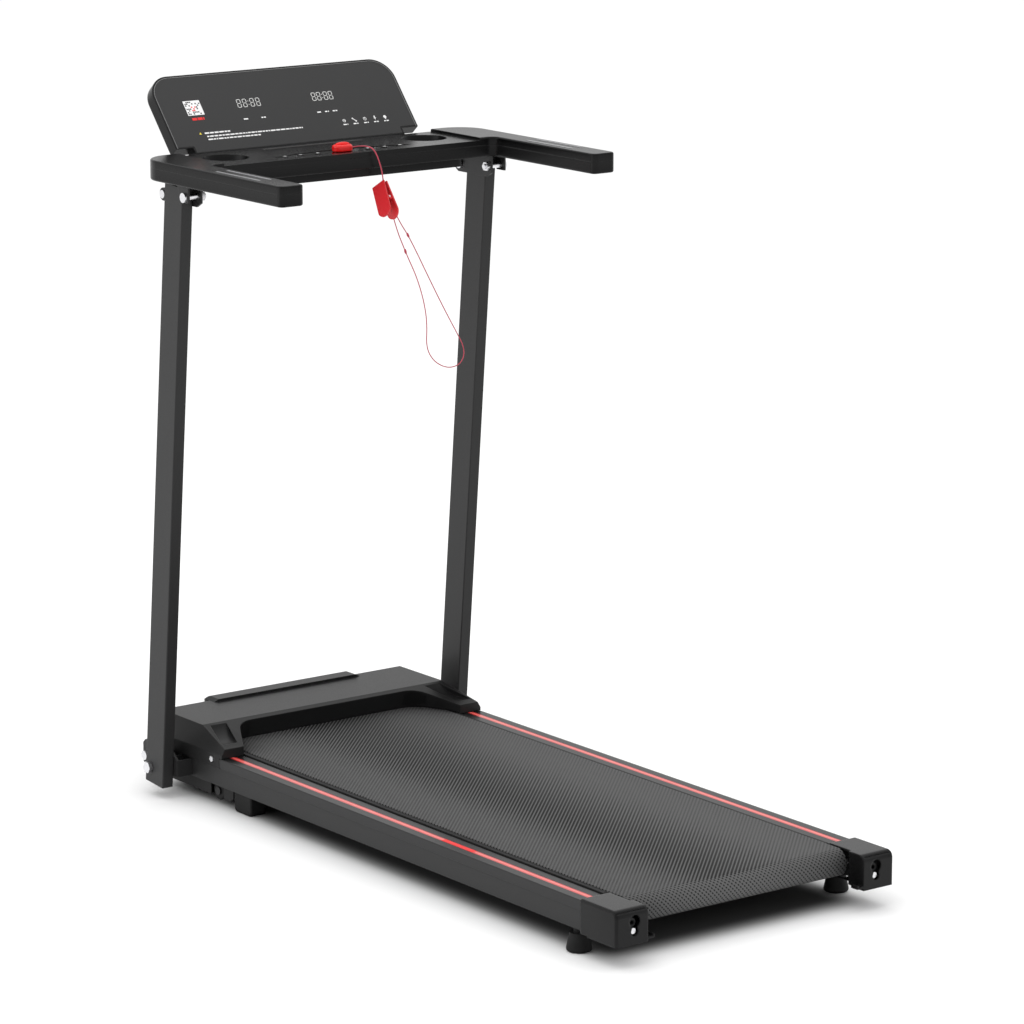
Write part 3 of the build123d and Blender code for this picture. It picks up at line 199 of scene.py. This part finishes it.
def crossing_strength(tree):
    """How strong the belt's crossing ribs are: faint on the flat run, strong where it turns."""
    apart = tree.nodes.new("ShaderNodeSeparateXYZ")
    tree.links.new(tree.nodes.new("ShaderNodeNewGeometry").outputs["Normal"], apart.inputs[0])
    return spread(tree, apart.outputs["Z"], low=0.12, high=1.6, start=0.995, end=0.80)


def woven_belt(name, dark, light):
    """The belt's face: diagonal ribs crossed by a weaker set, on the band's coordinates in metres."""
    tree, shader = new_material(name)
    flat = tree.nodes.new("ShaderNodeUVMap")
    flat.uv_map = "round_belt"
    place = flat.outputs["UV"]
    both = tree.nodes.new("ShaderNodeMath")
    both.operation = "MULTIPLY_ADD"
    crossing = wave(tree, place, angle=45, pitch=RIB_PITCH)
    ribs = wave(tree, place, angle=-45, pitch=RIB_PITCH)
    for socket, value in zip(both.inputs, (crossing, crossing_strength(tree), ribs)):
        tree.links.new(value, socket)
    height = spread(tree, both.outputs[0], start=0.42, end=1.1)
    dust = spread(tree, noise(tree, place, scale=9.0), high=0.015)
    base = mix_colour(tree, dust, mix_colour(tree, height, dark, light), scaled(light, 1.6))
    tree.links.new(base, shader.inputs["Base Color"])
    roughness = spread(tree, noise(tree, place, scale=700.0), low=0.62, high=0.8)
    tree.links.new(roughness, shader.inputs["Roughness"])
    tree.links.new(bump(tree, height, distance=0.6 * MM, strength=0.7), shader.inputs["Normal"])
    shader.inputs["Specular IOR Level"].default_value = 0.22


def painted_glow(name, colour, pale, strength):
    """The translucent red insert of a foot rail, with a little painted glow, though it is no lamp."""
    tree, shader = new_material(name)
    cloud = spread(tree, noise(tree, own_place(tree), scale=22.0))
    base = mix_colour(tree, cloud, colour, pale)
    tree.links.new(base, shader.inputs["Base Color"])
    # painted glow: the insert's colour is also given out as light
    tree.links.new(base, shader.inputs["Emission Color"])
    shader.inputs["Emission Strength"].default_value = strength
    shader.inputs["Roughness"].default_value = 0.35
    shader.inputs["Coat Weight"].default_value = 0.3


def corded(name, colour):
    """Twisted cord: diagonal strands across its length."""
    tree, shader = new_material(name)
    strands = wave(tree, own_place(tree), angle=35, pitch=STRAND_PITCH)
    tree.links.new(mix_colour(tree, strands, scaled(colour, 0.55), colour), shader.inputs["Base Color"])
    tree.links.new(bump(tree, strands, distance=0.1 * MM, strength=0.8), shader.inputs["Normal"])
    shader.inputs["Roughness"].default_value = 0.7
    shader.inputs["Sheen Weight"].default_value = 0.3


# ---------------------------------------------------------------- the finishes
# metal
moulded("painted_steel", (0.0085, 0.0085, 0.0087), 0.40, grain=500, depth=0.02, edge=1.2)
moulded("upright_paint", (0.0095, 0.0095, 0.0097), 0.38, grain=500, depth=0.02, edge=1.6)
moulded("motor_steel", (0.02, 0.02, 0.022), 0.35)
moulded("strip_metal", (0.33, 0.33, 0.34), 0.28, grain=600, depth=0.01, edge=0.4, metallic=0.4)
bare_metal("zinc_steel", (0.80, 0.80, 0.82), 0.28)
bare_metal("roller_steel", (0.45, 0.45, 0.47), 0.35, stretch=(30.0, 1.0, 1.0))
# deck, frame and feet
moulded("board", grey(0.003), 0.6, grain=300, depth=0.05)
moulded("rubber", grey(0.0025), 0.6, grain=700, depth=0.05, edge=1, mottle=0.15, edge_highlight=0.4, specular=0.2)
moulded("rail_plastic", (0.0065, 0.0065, 0.0068), 0.32, grain=1100, depth=0.04, edge=1)
moulded("cap_plastic", (0.0016, 0.0016, 0.0017), 0.22, grain=1000, depth=0.01, edge=3.5, specular=0.16)
moulded("hood_plastic", (0.0055, 0.0055, 0.0056), 0.34, grain=1000, depth=0.02, edge=1.8, specular=0.14)
moulded("pan_plastic", grey(0.006), 0.6, specular=0.2)
moulded("inner_plastic", grey(0.004), 0.45, specular=0.16)
moulded("grey_plastic", grey(0.05), 0.45, edge=0.6)
moulded("circuit", (0.01, 0.06, 0.02), 0.4)
woven_belt("belt", grey(0.001), grey(0.105))
# foot rail stripes with a painted glow; the second is the painted highlight along their crowns
painted_glow("stripe", (0.55, 0.02, 0.02), (0.66, 0.05, 0.045), 0.05)
painted_glow("stripe_highlight", (0.74, 0.11, 0.10), (0.84, 0.17, 0.15), 0.08)
# console and display
moulded("console_plastic", (0.0018, 0.0018, 0.0019), 0.26, grain=1000, depth=0.02, edge=1.8,
        specular=0.14)
moulded("panel_gloss", grey(0.003), 0.14, grain=800, depth=0.005, edge=0.4, mottle=0.1, edge_highlight=0.2,
        specular=0.4)
moulded("button_plastic", grey(0.015), 0.2, grain=800, depth=0.005, edge=0.4)
moulded("display_glass", (0.023, 0.023, 0.0233), 0.4, grain=1500, depth=0.008, mottle=0.03, edge_highlight=0.3,
        specular=0.2)
moulded("rim", grey(0.13), 0.35, depth=0.01, edge=0.2)
printed("ink", grey(0.75))
printed("segments", (0.50, 0.50, 0.49), 0.4)
printed("red_ink", (0.60, 0.02, 0.02))
printed("amber_ink", (0.70, 0.50, 0.05))
# safety key and its lanyard
moulded("key_red", (0.72, 0.006, 0.005), 0.25, depth=0.01, mottle=0.08, edge_highlight=0.4, specular=0.4)
moulded("clip_red", (0.36, 0.004, 0.008), 0.34, depth=0.01, edge=0.9, mottle=0.08, edge_highlight=0.9,
        specular=0.4)
corded("cord_red", (0.55, 0.04, 0.08))

slot_of = {part["node"]: part["material_slot"] for part in frame["record"]["subparts"]}
for node, obj in nodes.items():
    for slot in obj.material_slots:
        slot.material = finishes[slot_of[node]]


# ---------------------------------------------------------------- camera, floor and light
deck_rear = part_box("end_caps")[0].y
# the camera's place in metres, with Y measured from the deck's rear end, and its direction in degrees
CAMERA_PLACE = Vector((-3.970, deck_rear - 4.7305, 1.9745))
CAMERA_AZIMUTH, CAMERA_ELEVATION = -36.77, 12.40
LENS, SENSOR = 159.68, 36
# how far the camera sees and how far the floor goes each way, in metres
VIEW_END, FLOOR_HALF = 200, 60
# half the painted shadow on the floor under the deck along each axis, and how far its edge fades out
# and in
SHADED = (("X", 0.235), ("Y", 0.575))
FADE_OUT, FADE_IN = 0.035, 0.045
# the floor's own colour, and the colour of its painted shadow under the deck
PALE_FLOOR, SHADED_FLOOR = grey(0.985), grey(0.07)
WORLD_STRENGTH = 1.02


def add_object(name, data):
    made = bpy.data.objects.new(name, data)
    bpy.context.collection.objects.link(made)
    return made


def facing(direction):
    """The rotation of a camera or a light that looks along a direction."""
    return direction.to_track_quat("-Z", "Y").to_euler()


def camera():
    """Behind the machine's left rear corner, above the deck, looking forward through a long lens."""
    made = add_object("camera", bpy.data.cameras.new("camera"))
    azimuth, elevation = math.radians(CAMERA_AZIMUTH), math.radians(CAMERA_ELEVATION)
    back = Vector((math.sin(azimuth) * math.cos(elevation), -math.cos(azimuth) * math.cos(elevation),
                   math.sin(elevation)))
    made.location = CAMERA_PLACE
    made.rotation_euler = facing(-back)
    made.data.sensor_width = SENSOR
    made.data.lens = LENS
    made.data.clip_end = VIEW_END
    bpy.context.scene.camera = made


def deck_shade(tree):
    """How deep under the deck a point of the floor is, for the painted shadow there: 1 well under it,
    falling to 0 just outside.
    """
    apart = tree.nodes.new("ShaderNodeSeparateXYZ")
    tree.links.new(own_place(tree), apart.inputs[0])
    both = tree.nodes.new("ShaderNodeMath")
    both.operation = "MULTIPLY"
    for (axis, half), socket in zip(SHADED, both.inputs):
        away = tree.nodes.new("ShaderNodeMath")
        away.operation = "ABSOLUTE"
        tree.links.new(apart.outputs[axis], away.inputs[0])
        soft = spread(tree, away.outputs[0], start=half + FADE_OUT, end=half - FADE_IN)
        soft.node.interpolation_type = "SMOOTHERSTEP"
        tree.links.new(soft, socket)
    return both.outputs[0]


def floor():
    mesh = bpy.data.meshes.new("floor")
    corners = [(x * FLOOR_HALF, y * FLOOR_HALF, 0) for x, y in ((-1, -1), (1, -1), (1, 1), (-1, 1))]
    mesh.from_pydata(corners, [], [(0, 1, 2, 3)])
    made = add_object("floor", mesh)
    tree, shader = new_material("floor")
    # painted shadow: the floor's colour darkens under the deck
    base = mix_colour(tree, deck_shade(tree), PALE_FLOOR, SHADED_FLOOR)
    tree.links.new(base, shader.inputs["Base Color"])
    shader.inputs["Roughness"].default_value = 0.8
    shader.inputs["Specular IOR Level"].default_value = 0.0
    mesh.materials.append(finishes["floor"])


def area_light(name, place, aim, size, watts):
    data = bpy.data.lights.new(name, "AREA")
    data.shape = "RECTANGLE"
    data.size, data.size_y = size
    data.energy = watts
    made = add_object(name, data)
    made.location = place
    made.rotation_euler = facing(Vector(aim) - Vector(place))


def studio():
    """An even white surround, with a soft light from the left and one from above."""
    world = bpy.data.worlds.new("studio")
    bpy.context.scene.world = world
    world.use_nodes = True
    surround = world.node_tree.nodes["Background"]
    surround.inputs["Color"].default_value = (1, 1, 1, 1)
    surround.inputs["Strength"].default_value = WORLD_STRENGTH
    area_light("left_wall", (-5.0, 1.5, 1.6), aim=(0, 0, 0.6), size=(4, 3), watts=60)
    area_light("overhead", (0.0, 0.6, 4.5), aim=(0, 0, 0.2), size=(5, 5), watts=60)
    bpy.context.scene.view_settings.view_transform = "Standard"


camera()
floor()
studio()


# ---------------------------------------------------------------- helpers for pieces
def add_piece(name, mesh, body, slot, smooth=True, finish=None):
    """A piece riding on a body, in its slot's finish or in another one."""
    made = add_object(name, mesh)
    if smooth:
        for face in mesh.polygons:
            face.use_smooth = True
    mesh.materials.append(finishes[finish or slot])
    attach(made, body)
    return made


def finished(name, mesh):
    """A mesh datablock from bmesh faces, all turned outward."""
    bmesh.ops.recalc_face_normals(mesh, faces=mesh.faces)
    data = bpy.data.meshes.new(name)
    mesh.to_mesh(data)
    return data


def corners_of(node):
    """A node's lowest and highest corners."""
    return [Vector(corner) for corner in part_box(node)]


def from_rear(points):
    """Points in millimetres, with Y forward of the rear end, as points in the frame."""
    return [(x * MM, deck_rear + y * MM, z * MM) for x, y, z in points]


# ---------------------------------------------------------------- safety lanyard
LEAD_RADIUS, LOOP_RADIUS = 1.0 * MM, 0.8 * MM
lead_route = from_rear([
    (17.1, 1021, 1015.5), (22.5, 1021, 1015.5), (27.5, 1012, 1017.5), (30, 997.5, 1018.6),
    (32.5, 984, 1016.6), (35.5, 977, 1005), (39.5, 975.6, 992), (44, 976.6, 979.5),
    (48.2, 979.7, 965), (45.3, 973.4, 953.2), (41.8, 966.2, 939.9),
])
loop_route = from_rear([
    (45.3, 947.8, 909.7), (50.5, 945.9, 890), (59.5, 944.6, 868.5), (69.5, 944, 846.5),
    (83.5, 943.6, 819), (95.5, 943.6, 787), (103, 943.8, 756), (104.8, 944, 731.5),
    (103.4, 944, 709), (108, 944, 692), (121.5, 943.6, 675.5), (144, 943, 664.8),
    (166, 942.6, 667.5), (176, 942.6, 681.5), (173.5, 942.4, 698), (163.5, 942.2, 715.5),
    (142.8, 942, 749.5), (122, 941.8, 785.5), (101.7, 941.6, 822), (81.8, 941.5, 858.5),
    (66, 941.5, 885.5), (55, 941.6, 900.5), (47.3, 942.4, 914.4),
])


def cord_length(made):
    """The length of a cord's line, read from a copy of its spline with no bevel."""
    plain = made.copy()
    plain.data = made.data.copy()
    plain.data.bevel_depth = 0
    line = bpy.data.meshes.new_from_object(plain).vertices
    length = sum((a.co - b.co).length for a, b in zip(line, line[1:]))
    bpy.data.objects.remove(plain)
    return length


def cord(name, points, radius, body, node):
    """A smooth cord whose control points are the route of its CAD tube."""
    data = bpy.data.curves.new(name, "CURVE")
    data.dimensions = "3D"
    data.bevel_depth = radius
    data.bevel_resolution = 4
    data.resolution_u = 10
    data.use_fill_caps = True
    spline = data.splines.new("NURBS")
    spline.points.add(len(points) - 1)
    for point, place in zip(spline.points, points):
        point.co = (*place, 1)
    spline.order_u = 3
    spline.use_endpoint_u = True
    data.materials.append(finishes["cord_red"])
    made = add_object(name, data)
    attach(made, body)
    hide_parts(node)
    cord_length(made)


cord("lead", lead_route, LEAD_RADIUS, "lanyard", "lanyard_lead")
cord("loop", loop_route, LOOP_RADIUS, "lanyard", "lanyard_loop")


# ---------------------------------------------------------------- running belt
BELT_THICK = 1.6 * MM
BELT_STEPS = 24


def belt_path(ends):
    """Points round the belt's side view: the middle of their turn, and their direction from it."""
    path = []
    for centre, start in zip(ends, (90, -90)):
        for step in range(BELT_STEPS + 1):
            angle = math.radians(start - 180 * step / BELT_STEPS)
            path.append((centre, math.cos(angle), math.sin(angle)))
    return path


def belt_piece():
    """The belt as one closed band, carrying coordinates in metres across it and round it."""
    low, high = corners_of("running_belt")
    radius = (high.z - low.z) / 2
    middle = (high.z + low.z) / 2
    path = belt_path((high.y - radius, low.y + radius))
    outline = [(centre + radius * out, middle + radius * up) for centre, out, up in path]
    run = [0.0]
    for here, there in zip(outline, outline[1:] + outline[:1]):
        run.append(run[-1] + math.dist(here, there))
    mesh = bmesh.new()
    flat = mesh.loops.layers.uv.new("round_belt")
    section = ((low.x, 0), (high.x, 0), (high.x, BELT_THICK), (low.x, BELT_THICK))
    rings = [[mesh.verts.new((x, centre + (radius - deep) * out, middle + (radius - deep) * up))
              for x, deep in section] for centre, out, up in path]
    for index, ring in enumerate(rings):
        following = rings[(index + 1) % len(rings)]
        for side in range(4):
            other = (side + 1) % 4
            face = mesh.faces.new((ring[side], ring[other], following[other], following[side]))
            # the outer and inner faces are smooth, and the two cut edges stay flat
            face.smooth = side % 2 == 0
            places = ((side, 0), (other, 0), (other, 1), (side, 1))
            for loop, (corner, ahead) in zip(face.loops, places):
                loop[flat].uv = (section[corner][0], -run[index + ahead])
    made = add_piece("belt_band", finished("belt_band", mesh), "base", "belt", smooth=False)
    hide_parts("running_belt")


belt_piece()


# ---------------------------------------------------------------- printed and raised shapes
# how far shapes reach into the surface that they stand on, in millimetres
SUNK = 0.1
AHEAD, RIGHT = Vector((0, 1, 0)), Vector((1, 0, 0))


def shapes_piece(name, outlines, plane, height, body, slot, finish):
    """Thin flat shapes standing a little out of a surface, with outlines in millimetres on a plane."""
    origin, across, up = plane
    out = across.cross(up)
    mesh = bmesh.new()
    for outline in outlines:
        face = mesh.faces.new([mesh.verts.new(origin + (across * u + up * v - out * SUNK) * MM)
                               for u, v in outline])
        grown = bmesh.ops.extrude_face_region(mesh, geom=[face])["geom"]
        raised = [item for item in grown if isinstance(item, bmesh.types.BMVert)]
        bmesh.ops.translate(mesh, vec=out * (height + SUNK) * MM, verts=raised)
    add_piece(name, finished(name, mesh), body, slot, smooth=False, finish=finish)


def level_plane(x, y, z):
    """A plane facing up, with its first axis to the right and its second one forward."""
    return Vector((x, y, z)), RIGHT, AHEAD


def bar(u, v, long, wide, turn=0.0):
    """A bar centred at (u, v), turned by an angle in degrees."""
    c, s = math.cos(math.radians(turn)), math.sin(math.radians(turn))
    corners = [(x * long / 2, y * wide / 2) for x, y in ((-1, -1), (1, -1), (1, 1), (-1, 1))]
    return [(u + x * c - y * s, v + x * s + y * c) for x, y in corners]


def arc(u, v, radius, start, sweep, steps):
    """Points on an arc with both its ends, from its start angle through its sweep, in degrees."""
    angles = [math.radians(start + sweep * step / steps) for step in range(steps + 1)]
    return [(u + radius * math.cos(angle), v + radius * math.sin(angle)) for angle in angles]


def dot(u, v, radius, sides=16):
    return arc(u, v, radius, 0, 360, sides)[:-1]


def ring_bars(u, v, radius, wide, sides=10):
    """A ring made of short straight bars."""
    long = 2 * radius * math.tan(math.pi / sides)
    middles = dot(u, v, radius, sides)
    return [bar(x, y, long, wide, 90 + 360 * k / sides) for k, (x, y) in enumerate(middles)]


def line(points, wide):
    """A line of even width through points, as bars joined end to end."""
    made = []
    for (u0, v0), (u1, v1) in zip(points, points[1:]):
        long = math.hypot(u1 - u0, v1 - v0) + wide / 2
        turn = math.degrees(math.atan2(v1 - v0, u1 - u0))
        made.append(bar((u0 + u1) / 2, (v0 + v1) / 2, long, wide, turn))
    return made


def words(seed, start, end, v, tall):
    """A line of print too small to read: short bars of uneven length."""
    shortest, longest, gap = 2.5, 9.0, 1.4
    draw = random.Random(seed)
    made = []
    at = start
    while at < end - 1:
        long = min(draw.uniform(shortest, longest), end - at)
        made.append(bar(at + long / 2, v, long, tall))
        at += long + gap
    return made


# ---------------------------------------------------------------- display face
# where the face's lower edge is, in millimetres forward of the rear end and up, and how far the
# face leans forward from upright
FACE_AHEAD, FACE_HEIGHT, FACE_LEAN = 1138.9, 1019.1, math.radians(40.4)
PRINT_HEIGHT, CELL_HEIGHT, RIM_HEIGHT = 0.15, 0.25, 0.4
# a digit's width and height, the width of its segments and how far it leans
DIGIT_W, DIGIT_H, SEGMENT, SLANT = 7.6, 15.5, 1.1, 0.10
COLON_W = 3
# places on the face, across from its middle and up from its lower edge
READOUTS = ((-86, -43), (55, 95))
READOUT_V = 64.5
LABELS = ((-80, 10), (-48, 8), (57, 7), (72, 7), (88, 10))
LABEL_V = 43
SIGN_V, SIGN_WORDS_V, SIGN_HALF = 23, 15.8, 4.5
CAUTION_MARK = ((-176, 22.4), (-171.5, 22.4), (-173.75, 26.4))
PATCH_MIDDLE, PATCH_SIZE = (-166, 71.5), (30, 27)
CELL_START, CELL_PITCH, CELL_SIZE = (-178.4, 60.6), 3.1, 2.4
COLUMNS, ROWS, FILLED = 9, 8, 0.42
RIM_HALF, RIM_TOP, RIM_RADIUS, RIM_FOOT, RIM_WIDE = 225.2, 129.7, 34.8, 1.0, 1.0
RIM_STEPS = 10

face_foot = Vector((0, deck_rear + FACE_AHEAD * MM, FACE_HEIGHT * MM))
face_plane = (face_foot, RIGHT, Vector((0, math.sin(FACE_LEAN), math.cos(FACE_LEAN))))


def on_face(name, outlines, finish, height=PRINT_HEIGHT):
    shapes_piece(name, outlines, face_plane, height, "display", "display_glass", finish)


def eight(u, v):
    """All seven segments of a digit whose lower left corner is (u, v)."""
    edge = 0.6
    flats = [bar(u + DIGIT_W / 2 + SLANT * y, v + y, DIGIT_W - 2 * SEGMENT, SEGMENT)
             for y in (edge, DIGIT_H / 2, DIGIT_H - edge)]
    lean = -math.degrees(math.atan(SLANT))
    uprights = [bar(u + x + SLANT * y, v + y, SEGMENT, DIGIT_H / 2 - 2 * SEGMENT, lean)
                for x in (edge, DIGIT_W - edge) for y in (DIGIT_H / 4, 3 * DIGIT_H / 4)]
    return flats + uprights


def readout(start, end):
    """Four digits with a colon between the pairs, spread from start to end."""
    pitch = (end - start - DIGIT_W - COLON_W) / 3
    made = []
    for index in range(4):
        made += eight(start + index * pitch + (COLON_W if index > 1 else 0), READOUT_V)
    colon = start + 2 * pitch - (pitch - DIGIT_W) / 2 + COLON_W / 2
    made += [dot(colon + SLANT * y, READOUT_V + y, 0.8, 8) for y in (4.5, 11)]
    return made


def dial_sign(u, v):
    return ring_bars(u, v, 2.4, 0.8) + [bar(u, v, 3, 0.8)]


def weight_sign(u, v):
    return [bar(u, v, 7, 1.4, -45), dot(u - 2.5, v + 2.5, 1.5), dot(u + 2.5, v - 2.5, 1.5)]


def clock_sign(u, v):
    return ring_bars(u, v, 2.6, 0.8) + [bar(u, v + 0.8, 0.8, 2)]


def figure_sign(u, v):
    return [dot(u, v + 2.8, 1.3), bar(u, v - 0.6, 1.5, 4.5), bar(u, v - 0.1, 4.6, 0.9)]


def lamp_sign(u, v):
    return [dot(u, v + 0.2, 2.9), bar(u, v - 3.1, 1.6, 2)]


SIGNS = ((96, dial_sign), (115.5, weight_sign), (135.5, clock_sign), (155, figure_sign),
         (174.5, lamp_sign))


def labels():
    """The words under the readouts, the five signs with their words, and three lines of print."""
    made = []
    for seed, (u, long) in enumerate(LABELS):
        made += words(seed, u - long / 2, u + long / 2, LABEL_V, tall=2.2)
    for seed, (u, sign) in enumerate(SIGNS):
        made += sign(u, SIGN_V)
        made += words(seed + 10, u - SIGN_HALF, u + SIGN_HALF, SIGN_WORDS_V, tall=2.0)
    made += words(20, start=-166, end=-119, v=24, tall=2.6)
    made += words(21, start=-164, end=14.5, v=17.8, tall=2.3)
    made += words(22, start=-164, end=-67, v=12.2, tall=2.3)
    return made


def patch():
    """A pale patch of scattered dark cells, red near its middle, that spells nothing."""
    on_face("patch", [bar(*PATCH_MIDDLE, *PATCH_SIZE)], "ink")
    chance = random.Random(7)
    dark_cells, red_cells = [], []
    for column in range(COLUMNS):
        for row in range(ROWS):
            if chance.random() < FILLED:
                u, v = CELL_START[0] + CELL_PITCH * column, CELL_START[1] + CELL_PITCH * row
                near_middle = 2 < column < 6 and 1 < row < 6
                cells = red_cells if near_middle else dark_cells
                cells.append(bar(u, v, CELL_SIZE, CELL_SIZE))
    on_face("patch_cells", dark_cells, "grey_plastic", CELL_HEIGHT)
    caption = words(23, start=-177, end=-155, v=51, tall=4.5)
    on_face("patch_marks", red_cells + caption, "red_ink", CELL_HEIGHT)


def rim():
    """The raised line round the sides and top of the display face."""
    points = [(-RIM_HALF, RIM_FOOT)]
    for side, start in ((-1, 180), (1, 90)):
        centre = side * (RIM_HALF - RIM_RADIUS)
        points += arc(centre, RIM_TOP - RIM_RADIUS, RIM_RADIUS, start, -90, RIM_STEPS)
    points.append((RIM_HALF, RIM_FOOT))
    return line(points, RIM_WIDE)


on_face("readouts", readout(*READOUTS[0]) + readout(*READOUTS[1]), "segments")
on_face("labels", labels(), "ink")
on_face("caution", [CAUTION_MARK], "amber_ink")
patch()
on_face("display_rim", rim(), "rim", RIM_HEIGHT)


# ---------------------------------------------------------------- signs on the buttons
BUTTON_SIGN_HEIGHT = 0.2
button_signs = {
    1: [bar(0, 0, 5, 1), bar(0, 0, 1, 5)],
    2: [bar(0, 0, 5, 1)],
    3: [[(-1.8, -2.4), (2.6, 0), (-1.8, 2.4)]],
    4: [bar(0, 0, 3.8, 3.8)],
    5: [bar(-1.2, 0, 1, 4.4), bar(1.2, 0, 1, 4.4)],
    6: ring_bars(0, 0, 2, 0.8),
}
for number, sign in button_signs.items():
    low, high = corners_of(f"button_{number}")
    middle = (low + high) / 2
    shapes_piece(f"button_sign_{number}", sign, level_plane(middle.x, middle.y, high.z),
                 BUTTON_SIGN_HEIGHT, f"button_{number}_body", "button_plastic", "ink")


# ---------------------------------------------------------------- foot rail stripes
# millimetres: how far out the stripes run, and the sizes of what lies along them: the painted highlight
# on each crown and the deeper red run
STRIPE_OUT = 229.5
HIGHLIGHT_WIDE, HIGHLIGHT_SHORT, HIGHLIGHT_HEIGHT = 3.2, 4, 0.15
DEEP_WIDE, DEEP_LONG, DEEP_HEIGHT, DEEP_AHEAD = 8.6, 76, 0.3, 404


def crown_highlights():
    """The painted highlight along the crown of each stripe, a paler line, and the deeper red run on the
    left one.
    """
    low, high = corners_of("rail_stripes")
    long = (high.y - low.y) / MM - HIGHLIGHT_SHORT
    middle = (high.y + low.y) / 2
    # painted highlight: a paler, faintly glowing line along the crown of each stripe
    for name, side in (("left", -1), ("right", 1)):
        top = level_plane(side * STRIPE_OUT * MM, middle, high.z)
        shapes_piece(f"stripe_highlight_{name}", [bar(0, 0, HIGHLIGHT_WIDE, long)], top, HIGHLIGHT_HEIGHT, "base",
                     "stripe", "stripe_highlight")
    top = level_plane(-STRIPE_OUT * MM, deck_rear + DEEP_AHEAD * MM, high.z)
    shapes_piece("stripe_deep_run", [bar(0, 0, DEEP_WIDE, DEEP_LONG)], top, DEEP_HEIGHT, "base",
                 "stripe", "red_ink")


crown_highlights()


# ---------------------------------------------------------------- safety key crest
# millimetres: half the crest's length, how deep it is sunk in the key, and its half width and
# height, each from its tip and what it gains by its middle
CREST_HALF, CREST_SUNK = 13.5, 1
CREST_WIDE, CREST_TALL = (0.6, 2.6), (0.4, 3.4)
CREST_STEPS = 20


def key_crest():
    """The finger grip standing on the safety key: a thin lens, highest at its middle."""
    low, high = corners_of("safety_key")
    middle = (low + high) / 2
    mesh = bmesh.new()
    rows = []
    for step in range(CREST_STEPS + 1):
        along = 2 * step / CREST_STEPS - 1
        swell = math.sqrt(max(0.0, 1 - along * along))
        half = CREST_WIDE[0] + CREST_WIDE[1] * swell
        tall = CREST_TALL[0] + CREST_TALL[1] * swell + CREST_SUNK
        place = Vector((middle.x + along * CREST_HALF * MM, middle.y, high.z - CREST_SUNK * MM))
        angles = [math.radians(angle) for angle in range(0, 181, 30)]
        rows.append([mesh.verts.new(place + Vector((0, half * math.cos(a), tall * math.sin(a))) * MM)
                     for a in angles])
    for ring, following in zip(rows, rows[1:]):
        for a, b, c, d in zip(ring, ring[1:], following[1:], following):
            mesh.faces.new((a, b, c, d))
        mesh.faces.new((ring[-1], ring[0], following[0], following[-1]))
    mesh.faces.new(rows[0])
    mesh.faces.new(rows[-1])
    add_piece("key_crest", finished("key_crest", mesh), "key", "key_red")


key_crest()


# ---------------------------------------------------------------- knots of the lanyard
# a knot's radius, and half its length as a multiple of that radius
KNOT_RADIUS, KNOT_LONG = 1.9 * MM, 2.4
# how far the wound cord stands out, how steeply it winds, and how many ridges go round
WINDING, STEEPNESS, RIDGES = 0.12, 9, 2


def knot(name, place, along):
    """A small overhand knot: a short barrel of wound cord."""
    mesh = bmesh.new()
    bmesh.ops.create_icosphere(mesh, subdivisions=3, radius=1.0)
    turn = Vector(along).to_track_quat("Z", "Y").to_matrix()
    for vert in mesh.verts:
        x, y, z = vert.co
        ridge = math.sin(STEEPNESS * z + RIDGES * math.atan2(y, x))
        wound = KNOT_RADIUS * (1 + WINDING * ridge)
        vert.co = Vector(place) + turn @ Vector((x * wound, y * wound, z * KNOT_RADIUS * KNOT_LONG))
    data = bpy.data.meshes.new(name)
    mesh.to_mesh(data)
    add_piece(name, data, "lanyard", "cord_red")


left_knot, right_knot = from_rear([(64.5, 944.3, 857.5), (67.5, 941.6, 883)])
knot("knot_left", left_knot, (-0.3, 0, 0.95))
knot("knot_right", right_knot, (-0.45, 0, 0.9))
